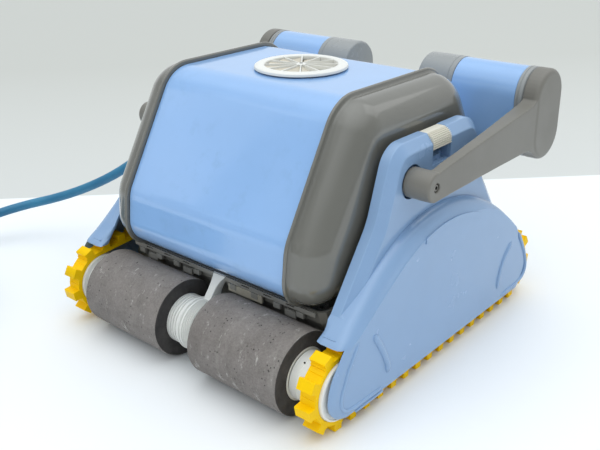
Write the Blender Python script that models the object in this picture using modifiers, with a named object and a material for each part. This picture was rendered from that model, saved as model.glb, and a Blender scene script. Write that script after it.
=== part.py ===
"""Tracked robotic pool cleaner with a float handle, at rest on its tracks.

Metres, +Z up.  The origin is on the floor at the middle of the machine: +X is its right side,
-Y its front.  Each half of the machine has its own track, track wheels and brushes.
"""

import math

import bmesh
import bpy
from mathutils import Matrix, Vector

# ---------------------------------------------------------------- driving dimensions
GAP = 0.0003  # left between pieces that touch
AXLE_Y = 0.1845  # front and rear roller axes
AXLE_Z = 0.0485
FOAM_R = 0.0482
FOAM_IN, FOAM_OUT = 0.0266, 0.1597
TUBE_R = 0.0300
HOUSING_R, HOUSING_LOW, HOUSING_HIGH = 0.0322, -0.0080, 0.0125  # the bearing housing between the brush tubes
HUB_R = 0.0275
BELT_R = 0.0370  # neutral line of the track on its wheels
BELT_IN, BELT_OUT = 0.1860, 0.2060
BELT_HALF = 0.0025
TIP_R = AXLE_Z  # the cleats' tips just reach the floor
CLEATS = 39
PHASE = 0.0016  # from the bottom of the front wheel to the first cleat
DRIVE_Z = 0.0620
PANEL_IN, PANEL_FACE = 0.1785, 0.2150
PIVOT_Y, PIVOT_Z = -0.0550, 0.2355
FLOAT_Y, FLOAT_LOW, FLOAT_TOP, FLOAT_HALF = 0.1950, 0.2005, 0.3135, 0.0345
BODY_TOP = 0.3200
CABLE_D = 0.0140
EXIT = (-0.2070, 0.0200, 0.2060)  # where the cable leaves the gland
COIL_AT = (-0.4250, -0.4350)
COIL_IN, COIL_OUT, COIL_HIGH = 0.0865, 0.1575, 0.0570

for old in list(bpy.data.objects):
    bpy.data.objects.remove(old, do_unlink=True)

PARTS = bpy.data.collections.new("pool_cleaner")
CUTTERS = bpy.data.collections.new("cutters")
bpy.context.scene.collection.children.link(PARTS)
bpy.context.scene.collection.children.link(CUTTERS)
CUTTERS.hide_render = True


# ---------------------------------------------------------------- materials
def material(name, color, rough, metal=0.0):
    m = bpy.data.materials.new(name)
    m.use_nodes = True
    shader = m.node_tree.nodes["Principled BSDF"]
    shader.inputs["Base Color"].default_value = (*color, 1.0)
    shader.inputs["Roughness"].default_value = rough
    shader.inputs["Metallic"].default_value = metal
    return m


BLUE = material("blue_abs", (0.31, 0.50, 0.83), 0.22)
GREY = material("grey_abs", (0.24, 0.24, 0.22), 0.30)
ARM_GREY = material("arm_grey", (0.22, 0.215, 0.205), 0.48)
WHITE = material("white_plastic", (0.80, 0.79, 0.75), 0.40)
BEIGE = material("beige_plastic", (0.72, 0.69, 0.60), 0.45)
FOAM = material("dark_foam", (0.10, 0.095, 0.09), 0.95)
YELLOW = material("yellow_rubber", (0.93, 0.62, 0.01), 0.50)
DARK = material("dark_plastic", (0.03, 0.03, 0.035), 0.50)
TRAY = material("tray_grey", (0.20, 0.20, 0.185), 0.55)
STEEL = material("steel", (0.60, 0.60, 0.60), 0.30, 1.0)
MESH = material("filter_mesh", (0.75, 0.75, 0.72), 0.60)
CABLE = material("cable_blue", (0.05, 0.20, 0.42), 0.55)


# ---------------------------------------------------------------- modelling helpers
def named(name, mesh, mat, collection=None):
    obj = bpy.data.objects.new(name, mesh)
    (collection or PARTS).objects.link(obj)
    if mat:
        mesh.materials.clear()
        mesh.materials.append(mat)
    if collection is CUTTERS:
        obj.hide_render = True
        obj.display_type = "WIRE"
    return obj


def clean(mesh, smooth=True):
    """Welds a mesh, turns its faces outwards and shades its round faces smooth."""
    bm = bmesh.new()
    bm.from_mesh(mesh)
    bmesh.ops.remove_doubles(bm, verts=bm.verts, dist=1e-6)
    bmesh.ops.recalc_face_normals(bm, faces=bm.faces)
    bm.to_mesh(mesh)
    bm.free()
    if smooth:
        mesh.shade_smooth()
        mesh.set_sharp_from_angle(angle=math.radians(35))
    return mesh


def made(obj, name, mat, collection=None):
    """The evaluated form of a guide object, as a mesh in world space; the guide goes."""
    bpy.context.view_layer.update()
    graph = bpy.context.evaluated_depsgraph_get()
    mesh = bpy.data.meshes.new_from_object(obj.evaluated_get(graph))
    mesh.transform(obj.matrix_world)
    bpy.data.objects.remove(obj, do_unlink=True)
    return named(name, clean(mesh), mat, collection)


# A flat outline (u, v) stands in the plane across an axis.
ACROSS = {
    "X": Matrix(((0, 0, 1, 0), (1, 0, 0, 0), (0, 1, 0, 0), (0, 0, 0, 1))),  # u is Y, v is Z
    "Y": Matrix(((1, 0, 0, 0), (0, 0, -1, 0), (0, 1, 0, 0), (0, 0, 0, 1))),  # u is X, v is Z
    "Z": Matrix.Identity(4),  # u is X, v is Y
}


def prism(name, outlines, low, high, mat, axis="X", collection=None):
    """A flat outline, with any holes as further loops, extruded from low to high along an axis."""
    curve = bpy.data.curves.new(name, "CURVE")
    curve.dimensions = "2D"
    curve.fill_mode = "BOTH"
    curve.extrude = (high - low) / 2
    for outline in outlines:
        spline = curve.splines.new("POLY")
        spline.points.add(len(outline) - 1)
        for point, (u, v) in zip(spline.points, outline):
            point.co = (u, v, 0, 1)
        spline.use_cyclic_u = True
    obj = bpy.data.objects.new(name, curve)
    bpy.context.scene.collection.objects.link(obj)
    middle = (low + high) / 2 * (-1 if axis == "Y" else 1)
    obj.matrix_world = ACROSS[axis] @ Matrix.Translation((0, 0, middle))
    return made(obj, name, mat, collection)


def turned(name, profile, steps, axis, at, mat, collection=None):
    """A closed profile of (radius, height) turned about an axis; height runs along the axis."""
    mesh = bpy.data.meshes.new(name)
    count = len(profile)
    on_axis = profile[0][0] < 1e-9 and profile[-1][0] < 1e-9
    edges = [(i, i + 1) for i in range(count - 1)] + ([] if on_axis else [(count - 1, 0)])
    mesh.from_pydata([(r, 0, h) for r, h in profile], edges, [])
    obj = bpy.data.objects.new(name, mesh)
    bpy.context.scene.collection.objects.link(obj)
    screw = obj.modifiers.new("turn", "SCREW")
    screw.steps = screw.render_steps = steps
    screw.use_merge_vertices = True
    screw.merge_threshold = 1e-5
    turn = {
        "X": Matrix.Rotation(math.pi / 2, 4, "Y"),
        "Y": Matrix.Rotation(-math.pi / 2, 4, "X"),
        "Z": Matrix.Identity(4),
    }[axis]
    obj.matrix_world = Matrix.Translation(at) @ turn
    return made(obj, name, mat, collection)


def rod(name, radius, low, high, at, mat, axis="X", steps=24, collection=None):
    """A plain round bar between two heights of an axis."""
    profile = [(0, high), (radius, high), (radius, low), (0, low)]
    return turned(name, profile, steps, axis, at, mat, collection)


def box(name, low, high, mat=None, collection=None, bevel=0.0):
    bm = bmesh.new()
    bmesh.ops.create_cube(bm, size=1)
    size = [b - a for a, b in zip(low, high)]
    bmesh.ops.scale(bm, vec=size, verts=bm.verts)
    bmesh.ops.translate(bm, vec=[(a + b) / 2 for a, b in zip(low, high)], verts=bm.verts)
    if bevel:
        bmesh.ops.bevel(bm, geom=bm.edges, offset=bevel, segments=1, affect="EDGES")
    mesh = bpy.data.meshes.new(name)
    bm.to_mesh(mesh)
    bm.free()
    return named(name, clean(mesh, False), mat, collection)


def loft(name, rows, mat, collection=None, caps=True):
    """Skins closed loops of equal length, in order, and closes both ends."""
    bm = bmesh.new()
    loops = [[bm.verts.new(p) for p in row] for row in rows]
    count = len(loops[0])
    for a, b in zip(loops, loops[1:]):
        for i in range(count):
            j = (i + 1) % count
            bm.faces.new((a[i], a[j], b[j], b[i]))
    if caps:
        bm.faces.new(loops[0][::-1])
        bm.faces.new(loops[-1])
    mesh = bpy.data.meshes.new(name)
    bm.to_mesh(mesh)
    bm.free()
    return named(name, clean(mesh), mat, collection)


def combine(obj, other, operation):
    """Cuts or joins with a Boolean; the other object stays as a hidden cutter."""
    mod = obj.modifiers.new(other.name, "BOOLEAN")
    mod.operation = operation
    mod.object = other
    return obj


def cut(obj, *others):
    for other in others:
        combine(obj, other, "DIFFERENCE")
    return obj


def join(obj, *others):
    for other in others:
        combine(obj, other, "UNION")
    return obj


def mirrored(obj, name):
    """The same piece on the other side of the machine."""
    bpy.context.view_layer.update()
    graph = bpy.context.evaluated_depsgraph_get()
    mesh = bpy.data.meshes.new_from_object(obj.evaluated_get(graph))
    mesh.transform(Matrix.Scale(-1, 4, (1, 0, 0)))
    mat = obj.data.materials[0]
    return named(name, clean(mesh), mat)


def pivot_at(obj, point):
    """Moves an object's origin to a point of its joint's axis, leaving its shape in place."""
    obj.data.transform(Matrix.Translation(-Vector(point)))
    obj.location = point
    return obj


# ---------------------------------------------------------------- outlines
def rounded(corners, steps=4):
    """A closed polygon of (u, v, radius) corners, each rounded by an arc."""
    out = []
    n = len(corners)
    for i in range(n):
        p = Vector(corners[i][:2])
        a = (Vector(corners[i - 1][:2]) - p).normalized()
        b = (Vector(corners[(i + 1) % n][:2]) - p).normalized()
        r = corners[i][2]
        half = a.angle(b) / 2
        if r <= 0:
            out.append(tuple(p))
            continue
        centre = p + (a + b).normalized() * (r / math.sin(half))
        start = p + a * (r / math.tan(half)) - centre
        turn = math.pi - 2 * half
        side = 1 if a.x * b.y - a.y * b.x < 0 else -1
        for k in range(steps + 1):
            t = side * turn * k / steps
            c, s = math.cos(t), math.sin(t)
            out.append(tuple(centre + Vector((start.x * c - start.y * s, start.x * s + start.y * c))))
    return out


def shrunk(corners, d):
    """The corners of a convex polygon listed clockwise, each side moved inwards by d."""
    n = len(corners)
    lines = []
    for i in range(n):
        p, q = Vector(corners[i][:2]), Vector(corners[(i + 1) % n][:2])
        t = (q - p).normalized()
        lines.append((p + Vector((t.y, -t.x)) * d, t))
    out = []
    for i in range(n):
        (p, s), (q, t) = lines[i - 1], lines[i]
        k = ((q - p).x * t.y - (q - p).y * t.x) / (s.x * t.y - s.y * t.x)
        point = p + s * k
        out.append((point.x, point.y, max(corners[i][2] - d, 0.004) if corners[i][2] else 0))
    return out


def both_ways(front):
    """The front half's corners and their mirror images behind, clockwise seen from +X."""
    return front + [(-y, z, r) for y, z, r in reversed(front)]


BODY = both_ways([(-0.184, 0.108, 0.035), (-0.1755, 0.182, 0.050), (-0.0944, BODY_TOP, 0.048)])
TOWER = both_ways([(-0.186, 0.090, 0.0), (-0.1075, 0.200, 0.080), (-0.0805, 0.2775, 0.030)])


def at_x(x, outline):
    return [(x, y, z) for y, z in outline]


def circle(radius, u=0.0, v=0.0, steps=32):
    return [
        (u + radius * math.cos(2 * math.pi * i / steps), v + radius * math.sin(2 * math.pi * i / steps))
        for i in range(steps)
    ]


# ---------------------------------------------------------------- the body
def body_shell():
    """The blue cover: one bent sheet, open below and at both sides."""
    outer = rounded(shrunk(BODY, 0.0016), 5)
    inner = rounded(shrunk(BODY, 0.0046), 5)
    # The sheet runs from the front's lower edge over the top to the rear's.
    sheet = outer + inner[::-1]
    shell = prism("body_shell", [sheet], -0.1262, 0.1262, BLUE)
    hole = rod("grille_hole", 0.0504, 0.30, 0.34, (0, 0, 0), None, "Z", 32, CUTTERS)
    return cut(shell, hole)


def end_cap(name):
    """The grey end cap: rolled rim, groove, then shoulders that curve in to a flat side."""
    rows = [(0.1665, 0.0400), (0.1640, 0.0310), (0.1560, 0.0170), (0.1440, 0.0075), (0.1310, 0.0040)]
    rows += [(0.1268, 0.0030), (0.1268, -0.0022), (0.1290, -0.0036), (0.1318, -0.0022), (0.1330, 0.0004)]
    for k in range(7):
        t = math.radians(12 + 78 * k / 6)
        rows.append((0.1290 + 0.0415 * math.sin(t), 0.0350 * (1 - math.cos(t))))
    return loft(name, [at_x(x, rounded(shrunk(BODY, d), 4)) for x, d in rows], GREY)


def outlet_grille():
    """A flat ring with twelve deep radial vanes and a hub, over the impeller duct."""
    ring = turned(
        "outlet_grille",
        [(0.0430, 0.3245), (0.0530, 0.3245), (0.0565, 0.3222), (0.0565, 0.3203), (0.0500, 0.3203), (0.0500, 0.3190), (0.0430, 0.3190)],
        36, "Z", (0, 0, 0), WHITE,
    )
    hub = rod("grille_hub", 0.0070, 0.3190, 0.3240, (0, 0, 0), None, "Z", 12, CUTTERS)
    join(ring, hub)
    for k in range(6):
        vane = box("grille_vane_%d" % k, (-0.0445, -0.0011, 0.3192), (0.0445, 0.0011, 0.3232), None, CUTTERS)
        vane.data.transform(Matrix.Rotation(math.radians(15 + 30 * k), 4, "Z"))
        join(ring, vane)
    return ring


# ---------------------------------------------------------------- the chassis
def base_frame():
    """The grey tub between the rollers, its floor open for the lid, with four posts for the side panels."""
    levels = [(0.0240, 0.118), (0.0400, 0.1300), (0.0600, 0.1310), (0.0750, 0.1375), (0.0900, 0.1490), (0.1050, 0.1531)]

    def row(z, y, x):
        return [(u, v, z) for u, v in rounded([(-x, -y, 0.006), (-x, y, 0.006), (x, y, 0.006), (x, -y, 0.006)], 1)]

    rows = [row(0.0270, 0.1150, 0.1550)] + [row(z, y - 0.003, 0.1550) for z, y in levels[1:]]
    rows.append(row(0.1050, 0.1531, 0.1580))
    rows += [row(z, y, 0.1580) for z, y in reversed(levels[:-1])]
    tub = loft("base_frame", rows, TRAY)
    lid_hole = box("lid_hole", (-0.1208, -0.1008, 0.0), (0.1208, 0.1008, 0.05), None, CUTTERS)
    cut(tub, lid_hole)
    for side in (-1, 1):
        for y in (-0.100, 0.100):
            low, high = sorted((side * 0.1565, side * 0.2114))
            join(tub, rod("panel_post", 0.0080, low, high, (0, y, 0.0520), None, "X", 12, CUTTERS))
        low, high = sorted((side * 0.150, side * 0.165))
        cut(tub, rod("shaft_hole", 0.0045, low, high, (0, 0, DRIVE_Z), None, "X", 12, CUTTERS))
    for end in (-1, 1):
        low, high = sorted((end * 0.1478, end * 0.1560))
        cut(tub, box("support_socket", (-0.0040, low, 0.0925), (0.0080, high, 0.1036), None, CUTTERS))
    return tub


def bottom_lid():
    """The lid under the tub, with two inlet slots."""
    lid = box("bottom_lid", (-0.1204, -0.1004, 0.0236), (0.1204, 0.1004, 0.0266), TRAY)
    for end in (-1, 1):
        y = end * 0.055
        cut(lid, box("inlet_slot", (-0.060, y - 0.012, 0.0), (0.060, y + 0.012, 0.05), None, CUTTERS))
    return lid


def inlet_flap(name, end):
    """A flap valve that covers an inlet slot and lifts about its inner edge."""
    y0 = end * 0.040
    profile = [(0.0, 0.0270), (0.0, 0.0284), (end * 0.029, 0.0284), (end * 0.029, 0.0270)]
    flap = prism(name, [[(y0 + u, v) for u, v in profile]], -0.0630, 0.0630, DARK)
    barrel = rod(name + "_barrel", 0.0018, -0.0630, 0.0630, (0, y0, 0.0290), None, "X", 10, CUTTERS)
    join(flap, barrel)
    return pivot_at(flap, (0, y0, 0.0290))


def lid_latch(name, end):
    low, high = sorted((end * 0.0930, end * 0.1130))
    latch = box(name, (-0.016, low, 0.0195), (0.016, high, 0.0233), DARK, None, 0.0008)
    return latch


def roller_support(name, end):
    """The arm from the tub's edge to the housing that carries the two brush tubes' inner ends."""
    y, z = end * AXLE_Y, AXLE_Z
    lip = 0.0012
    rows = [(0.0125, HOUSING_LOW), (HOUSING_R - lip, HOUSING_LOW), (HOUSING_R, HOUSING_LOW + lip)]
    rows += [(HOUSING_R, HOUSING_HIGH - lip), (HOUSING_R - lip, HOUSING_HIGH), (0.0125, HOUSING_HIGH)]
    ring = turned(name, rows, 24, "X", (0, y, z), WHITE)
    root = Vector((end * 0.1512, 0.1015))
    tip = Vector((y, z)) + (root - Vector((y, z))).normalized() * 0.0270
    along = (root - tip).normalized()
    wide = Vector((-along.y, along.x)) * 0.0040
    arm = prism(name + "_arm", [[tuple(tip - wide * 2), tuple(tip + wide * 2), tuple(root + wide * 0.8), tuple(root - wide * 0.8)]], -0.0036, 0.0076, None, "X", CUTTERS)
    return join(ring, arm)


# ---------------------------------------------------------------- water path and drives
def impeller_duct():
    """The tube from the pump to the grille, with four struts and a ring that holds the pump motor."""
    duct = turned("impeller_duct", [(0.0465, 0.3186), (0.0495, 0.3186), (0.0495, 0.2500), (0.0465, 0.2500)], 28, "Z", (0, 0, 0), WHITE)
    ring = turned("motor_ring", [(0.0363, 0.2600), (0.0400, 0.2600), (0.0400, 0.2500), (0.0363, 0.2500)], 28, "Z", (0, 0, 0), None, CUTTERS)
    join(duct, ring)
    for k in range(4):
        strut = box("strut_%d" % k, (0.0385, -0.0020, 0.2505), (0.0480, 0.0020, 0.2595), None, CUTTERS)
        strut.data.transform(Matrix.Rotation(math.radians(90 * k + 45), 4, "Z"))
        join(duct, strut)
    return duct


def pump_motor():
    return turned(
        "pump_motor",
        [(0, 0.2620), (0.0300, 0.2620), (0.0360, 0.2570), (0.0360, 0.2050), (0.0320, 0.2000), (0, 0.2000)],
        24, "Z", (0, 0, 0), DARK,
    )


def impeller():
    hub = rod("impeller", 0.0110, 0.2740, 0.2940, (0, 0, 0), DARK, "Z", 16)
    bore = rod("impeller_bore", 0.0033, 0.26, 0.30, (0, 0, 0), None, "Z", 10, CUTTERS)
    for k in range(3):
        blade = box("blade_%d" % k, (0.0080, -0.0012, -0.0110), (0.0420, 0.0012, 0.0110), None, CUTTERS)
        blade.data.transform(Matrix.Rotation(math.radians(52), 4, "X"))
        blade.data.transform(Matrix.Rotation(math.radians(120 * k), 4, "Z"))
        blade.data.transform(Matrix.Translation((0, 0, 0.2840)))
        join(hub, blade)
    return cut(hub, bore)


def drive_motor(name, side):
    ends = [(0, 0.1545), (0.0260, 0.1545), (0.0260, 0.1490), (0.0200, 0.1490), (0.0200, 0.1240), (0, 0.1240)]
    if side < 0:
        ends = [(r, -h) for r, h in ends]
    return turned(name, ends, 20, "X", (0, 0, DRIVE_Z), DARK)


# ---------------------------------------------------------------- tracks and rollers
def belt_path(radius):
    """Points and outward directions round the track's three wheels, a distance along it apart."""
    centres = [Vector((-AXLE_Y, AXLE_Z)), Vector((0, DRIVE_Z)), Vector((AXLE_Y, AXLE_Z))]
    rise = math.atan2(DRIVE_Z - AXLE_Z, AXLE_Y)
    quarter = math.pi / 2
    # Each arc turns clockwise seen from +X, from one tangent point to the next.
    arcs = [
        (centres[0], -quarter, -quarter - (math.pi - rise)),
        (centres[1], quarter + rise, quarter - rise),
        (centres[2], quarter - rise, -quarter),
    ]
    arcs[0] = (centres[0], 2 * math.pi - quarter, quarter + rise)
    pieces = []
    for i, (c, a, b) in enumerate(arcs):
        pieces.append(("arc", c, a, b, abs(a - b) * radius))
        n, a2, _ = arcs[(i + 1) % 3]
        p = c + Vector((math.cos(b), math.sin(b))) * radius
        q = n + Vector((math.cos(a2), math.sin(a2))) * radius
        pieces.append(("run", p, q, b, (q - p).length))
    total = sum(p[4] for p in pieces)

    def at(s):
        s %= total
        for kind, a, b, c, length in pieces:
            if s <= length:
                if kind == "arc":
                    t = b + (c - b) * s / length
                    out = Vector((math.cos(t), math.sin(t)))
                    return a + out * radius, out
                return a + (b - a) * (s / length), Vector((math.cos(c), math.sin(c)))
            s -= length
        return at(0)

    return total, at


def track(name, side):
    """A closed rubber belt with rectangular cleats across its full width."""
    total, at = belt_path(BELT_R)
    pitch = total / CLEATS
    high = TIP_R - BELT_R
    outer, inner = [], []
    for k in range(CLEATS):
        for offset, out in ((-0.0056, BELT_HALF), (-0.0046, high), (0.0046, high), (0.0056, BELT_HALF)):
            p, n = at(k * pitch + PHASE + offset)
            outer.append(tuple(p + n * out))
        p, n = at((k + 0.5) * pitch + PHASE)
        outer.append(tuple(p + n * BELT_HALF))
        bent = (at(k * pitch + PHASE)[1] - at((k + 1) * pitch + PHASE)[1]).length > 1e-4
        for part in (0.0, 1 / 3, 2 / 3) if bent else (0.0,):
            p, n = at((k + part) * pitch + PHASE)
            inner.append(tuple(p - n * BELT_HALF))
    low, high_x = sorted((side * BELT_IN, side * BELT_OUT))
    return prism(name, [outer, inner], low, high_x, YELLOW)


def track_wheel(name, side, end):
    """The white wheel inside the track, with a hub towards the brush."""
    r = BELT_R - BELT_HALF - 2 * GAP
    bore = 0.0084
    rows = [
        (bore, 0.1600), (HUB_R - 0.001, 0.1600), (HUB_R, 0.1612), (HUB_R, 0.1840), (r - 0.001, 0.1840), (r, 0.1850),
        (r, 0.2080), (r - 0.001, 0.2092), (bore, 0.2092),
    ]
    y = end * AXLE_Y
    wheel = turned(name, [(a, side * b) for a, b in rows], 28, "X", (0, y, AXLE_Z), WHITE)
    return pivot_at(wheel, (0, y, AXLE_Z))


def brush_tube(name, side, end):
    """The tube in the foam; its inner end turns in the centre housing."""
    start = (HOUSING_HIGH if side > 0 else -HOUSING_LOW) + 0.0005
    rows = [(0.0085, start), (TUBE_R - 0.001, start), (TUBE_R, start + 0.001), (TUBE_R, 0.1592), (0.0265, 0.1592), (0.0265, start + 0.004), (0.0085, start + 0.004)]
    y = end * AXLE_Y
    tube = turned(name, [(r, side * h) for r, h in rows], 24, "X", (0, y, AXLE_Z), WHITE)
    return pivot_at(tube, (0, y, AXLE_Z))


def foam_roll(name, side, end):
    edge = 0.0015
    rows = [
        (0.0303, FOAM_IN + 0.0004), (FOAM_R - edge, FOAM_IN + 0.0004), (FOAM_R, FOAM_IN + 0.0004 + edge),
        (FOAM_R, FOAM_OUT - edge), (FOAM_R - edge, FOAM_OUT), (0.0303, FOAM_OUT),
    ]
    y = end * AXLE_Y
    foam = turned(name, [(r, side * h) for r, h in rows], 32, "X", (0, y, AXLE_Z), FOAM)
    return pivot_at(foam, (0, y, AXLE_Z))


def drive_pulley(name, side):
    r = BELT_R - BELT_HALF - 2 * GAP
    rows = [(0.0045, 0.1865), (r, 0.1865), (r, 0.2055), (0.0045, 0.2055)]
    pulley = turned(name, [(a, side * b) for a, b in rows], 28, "X", (0, 0, DRIVE_Z), WHITE)
    return pivot_at(pulley, (0, 0, DRIVE_Z))


# ---------------------------------------------------------------- side panels
# The lower cover's long upper edges, front to rear: where it meets the tower, and round its flat outer face.
ARCH_BASE = [(-0.1870, 0.1016)] + [(y, -0.0100 + math.sqrt(0.2050**2 - y * y)) for y in [0.0142 * k for k in range(-10, 11)]] + [(0.1870, 0.1010)]
ARCH_FACE = [
    (-0.1870, 0.1010), (-0.1675, 0.1050), (-0.1490, 0.1168), (-0.1306, 0.1296), (-0.1087, 0.1438), (-0.0823, 0.1593),
    (-0.0549, 0.1710), (-0.0344, 0.1768), (-0.0129, 0.1789), (0.0094, 0.1790), (0.0329, 0.1766), (0.0600, 0.1722),
    (0.0884, 0.1660), (0.1167, 0.1546), (0.1480, 0.1330), (0.1688, 0.1156), (0.1870, 0.1005),
]


def evenly(points, count):
    """Points evenly spaced along a line of straight pieces."""
    pts = [Vector(p) for p in points]
    lengths = [0.0]
    for p, q in zip(pts, pts[1:]):
        lengths.append(lengths[-1] + (q - p).length)
    out, i = [], 0
    for k in range(count):
        s = lengths[-1] * k / (count - 1)
        while i < len(pts) - 2 and lengths[i + 1] < s:
            i += 1
        out.append(pts[i].lerp(pts[i + 1], (s - lengths[i]) / (lengths[i + 1] - lengths[i])))
    return out


def arch_outline(share, inset=0.0, foot=(0.0, 0.0)):
    """The lower cover's outline: round ends about the track wheels, and an arch that is ARCH_BASE at share 0 and ARCH_FACE at 1."""
    end_r = 0.0318
    front = [Vector((-AXLE_Y, AXLE_Z - end_r))]
    for k in range(1, 6):
        t = math.radians(270 - 18 * k)
        front.append(Vector((-AXLE_Y + end_r * math.cos(t), AXLE_Z + end_r * math.sin(t))))
    front.append(Vector((-0.2075, 0.0760)))
    rear = [Vector((-p.x, p.y)) for p in reversed(front)]
    arch = [p.lerp(q, share) for p, q in zip(evenly(ARCH_BASE, 17), evenly(ARCH_FACE, 17))]
    arch[0] += Vector(foot)
    arch[-1] += Vector((-foot[0], foot[1]))
    loop = front + arch + rear
    out = []
    for i, p in enumerate(loop):
        a, b = (p - loop[i - 1]).normalized(), (loop[(i + 1) % len(loop)] - p).normalized()
        normal = (Vector((a.y, -a.x)) + Vector((b.y, -b.x))).normalized()
        out.append(tuple(p + normal * inset / max(0.5, normal.dot(Vector((a.y, -a.x))))))
    return out


def side_panel(name):
    """The blue side cover: a tower that holds the handle, and the bulged cover outside the track."""
    # Each row: x, share towards the face's outline, inset, and the foot's corner.
    rows = [
        (PANEL_IN, 0.0, 0.0, (0.0100, 0.0026)), (0.1825, 0.0, 0.0, (0.0040, 0.0010)), (0.1865, 0.0, 0.0, (0.0, 0.0)), (0.1990, 0.0, 0.0, (0.0, 0.0)),
        (0.2045, 0.14, 0.0, (0.0, 0.0)), (0.2095, 0.44, 0.0, (0.0, 0.0)), (0.2130, 0.80, 0.0004, (0.0, 0.0)), (PANEL_FACE, 1.0, 0.0016, (0.0, 0.0)),
    ]
    panel = loft(name, [at_x(x, arch_outline(share, inset, foot)) for x, share, inset, foot in rows], BLUE)
    rows = [(PANEL_IN, 0.0), (0.1900, 0.0), (0.1960, 0.0060), (0.1990, 0.0110)]
    tower = loft("tower", [at_x(x, rounded(shrunk(TOWER, d), 5)) for x, d in rows], None, CUTTERS)
    join(panel, tower)
    # The hollow behind them is open towards the machine, and below for the track.
    rows = [(0.170, 0.0), (0.1980, 0.0), (0.2035, 0.20), (0.2085, 0.56), (0.2118, 0.90)]
    arch_hollow = loft("arch_hollow", [at_x(x, arch_outline(share, 0.0034, (0.0070, 0.0))) for x, share in rows], None, CUTTERS)
    rows = [(0.170, 0.0030), (0.1886, 0.0030), (0.1940, 0.0085), (0.1958, 0.0140)]
    tower_hollow = loft("tower_hollow", [at_x(x, rounded(shrunk(TOWER, d), 5)) for x, d in rows], None, CUTTERS)
    below = box("track_space", (0.165, -0.26, -0.05), (0.2117, 0.26, 0.0977), None, CUTTERS)
    cut(panel, arch_hollow, tower_hollow, below)
    # A boss for the handle's hub and a block behind the latch.
    boss = rod("pivot_boss", 0.0230, 0.1790, 0.1970, (0, PIVOT_Y, PIVOT_Z), None, "X", 24, CUTTERS)
    block = box("latch_block", (0.1792, -0.0215, 0.2380), (0.1972, 0.0255, 0.2700), None, CUTTERS)
    join(panel, boss, block)
    hub_hole = rod("hub_hole", 0.0185, 0.1900, 0.2500, (0, PIVOT_Y, PIVOT_Z), None, "X", 28, CUTTERS)
    screw_hole = rod("screw_hole", 0.0034, 0.1700, 0.1950, (0, PIVOT_Y, PIVOT_Z), None, "X", 10, CUTTERS)
    slot = box("latch_slot", (0.1865, -0.0165, 0.2430), (0.2500, 0.0205, 0.3000), None, CUTTERS)
    slot_top = box("latch_slot_top", (0.1700, -0.0164, 0.2485), (0.2400, 0.0204, 0.2990), None, CUTTERS)
    cut(panel, hub_hole, screw_hole, slot, slot_top)
    # Spigots that the track wheels turn on.
    for end in (-1, 1):
        join(panel, rod("spigot", 0.0080, 0.1700, 0.2135, (0, end * AXLE_Y, AXLE_Z), None, "X", 16, CUTTERS))
    return panel


def latch_slider(name, side):
    """The ribbed latch in the tower's top, which slides down in its slot."""
    profile = [
        (0.1790, 0.2597), (0.1790, 0.2772), (0.1870, 0.2772), (0.1925, 0.2760), (0.1964, 0.2722), (0.1986, 0.2665), (0.1990, 0.2597),
    ]
    return prism(name, [[(side * x, z) for x, z in profile]], -0.0161, 0.0201, BEIGE, "Y")


# ---------------------------------------------------------------- handle
def stadium(inset=0.0, steps=6):
    r = FLOAT_HALF - inset
    out = []
    for centre, start in ((FLOAT_TOP - FLOAT_HALF, 0.0), (FLOAT_LOW + FLOAT_HALF, math.pi)):
        for k in range(steps + 1):
            t = start + math.pi * k / steps
            out.append((FLOAT_Y + r * math.cos(t), centre + r * math.sin(t)))
    return out


def handle_arm(name):
    """The arm: a hub in the tower, a beam that widens to the rear, and the plate that ends the float."""
    y0, z0 = PIVOT_Y, PIVOT_Z
    rows = [(0.2098, 0.0), (0.2250, 0.0), (0.2285, 0.0016), (0.2300, 0.0050)]
    plate = loft(name, [at_x(x, stadium(d, 8)) for x, d in rows], ARM_GREY)
    beam_rows = []
    for y, low, high, inner in (
        (-0.0550, 0.2200, 0.2500, 0.2222), (-0.0300, 0.2205, 0.2535, 0.2215), (0.0300, 0.2215, 0.2610, 0.2185),
        (0.0900, 0.2220, 0.2685, 0.2140), (0.1380, 0.2220, 0.2745, 0.2100), (0.1570, 0.2180, 0.2790, 0.2100), (0.1760, 0.2120, 0.2850, 0.2110),
    ):
        beam_rows.append([(inner, y, low), (0.2278, y, low), (0.2292, y, low + 0.0015), (0.2292, y, high - 0.0015), (0.2278, y, high), (inner, y, high)])
    beam = loft("beam", beam_rows, None, CUTTERS)
    join(plate, beam)
    hub = turned("hub", [(0, 0.2284), (0.0142, 0.2284), (0.0157, 0.2270), (0.0165, 0.2185), (0.0165, 0.1976), (0, 0.1976)], 24, "X", (0, y0, z0), None, CUTTERS)
    join(plate, hub)
    bore = rod("screw_bore", 0.0033, 0.1900, 0.2400, (0, y0, z0), None, "X", 12, CUTTERS)
    sink = rod("screw_sink", 0.0050, 0.2262, 0.2400, (0, y0, z0), None, "X", 16, CUTTERS)
    cut(plate, bore, sink)
    return plate


def pivot_screw(name):
    return turned(
        name, [(0, 0.2285), (0.0040, 0.2285), (0.0046, 0.2280), (0.0046, 0.2266), (0.0030, 0.2266), (0.0030, 0.1830), (0, 0.1830)],
        16, "X", (0, PIVOT_Y, PIVOT_Z), STEEL,
    )


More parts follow.
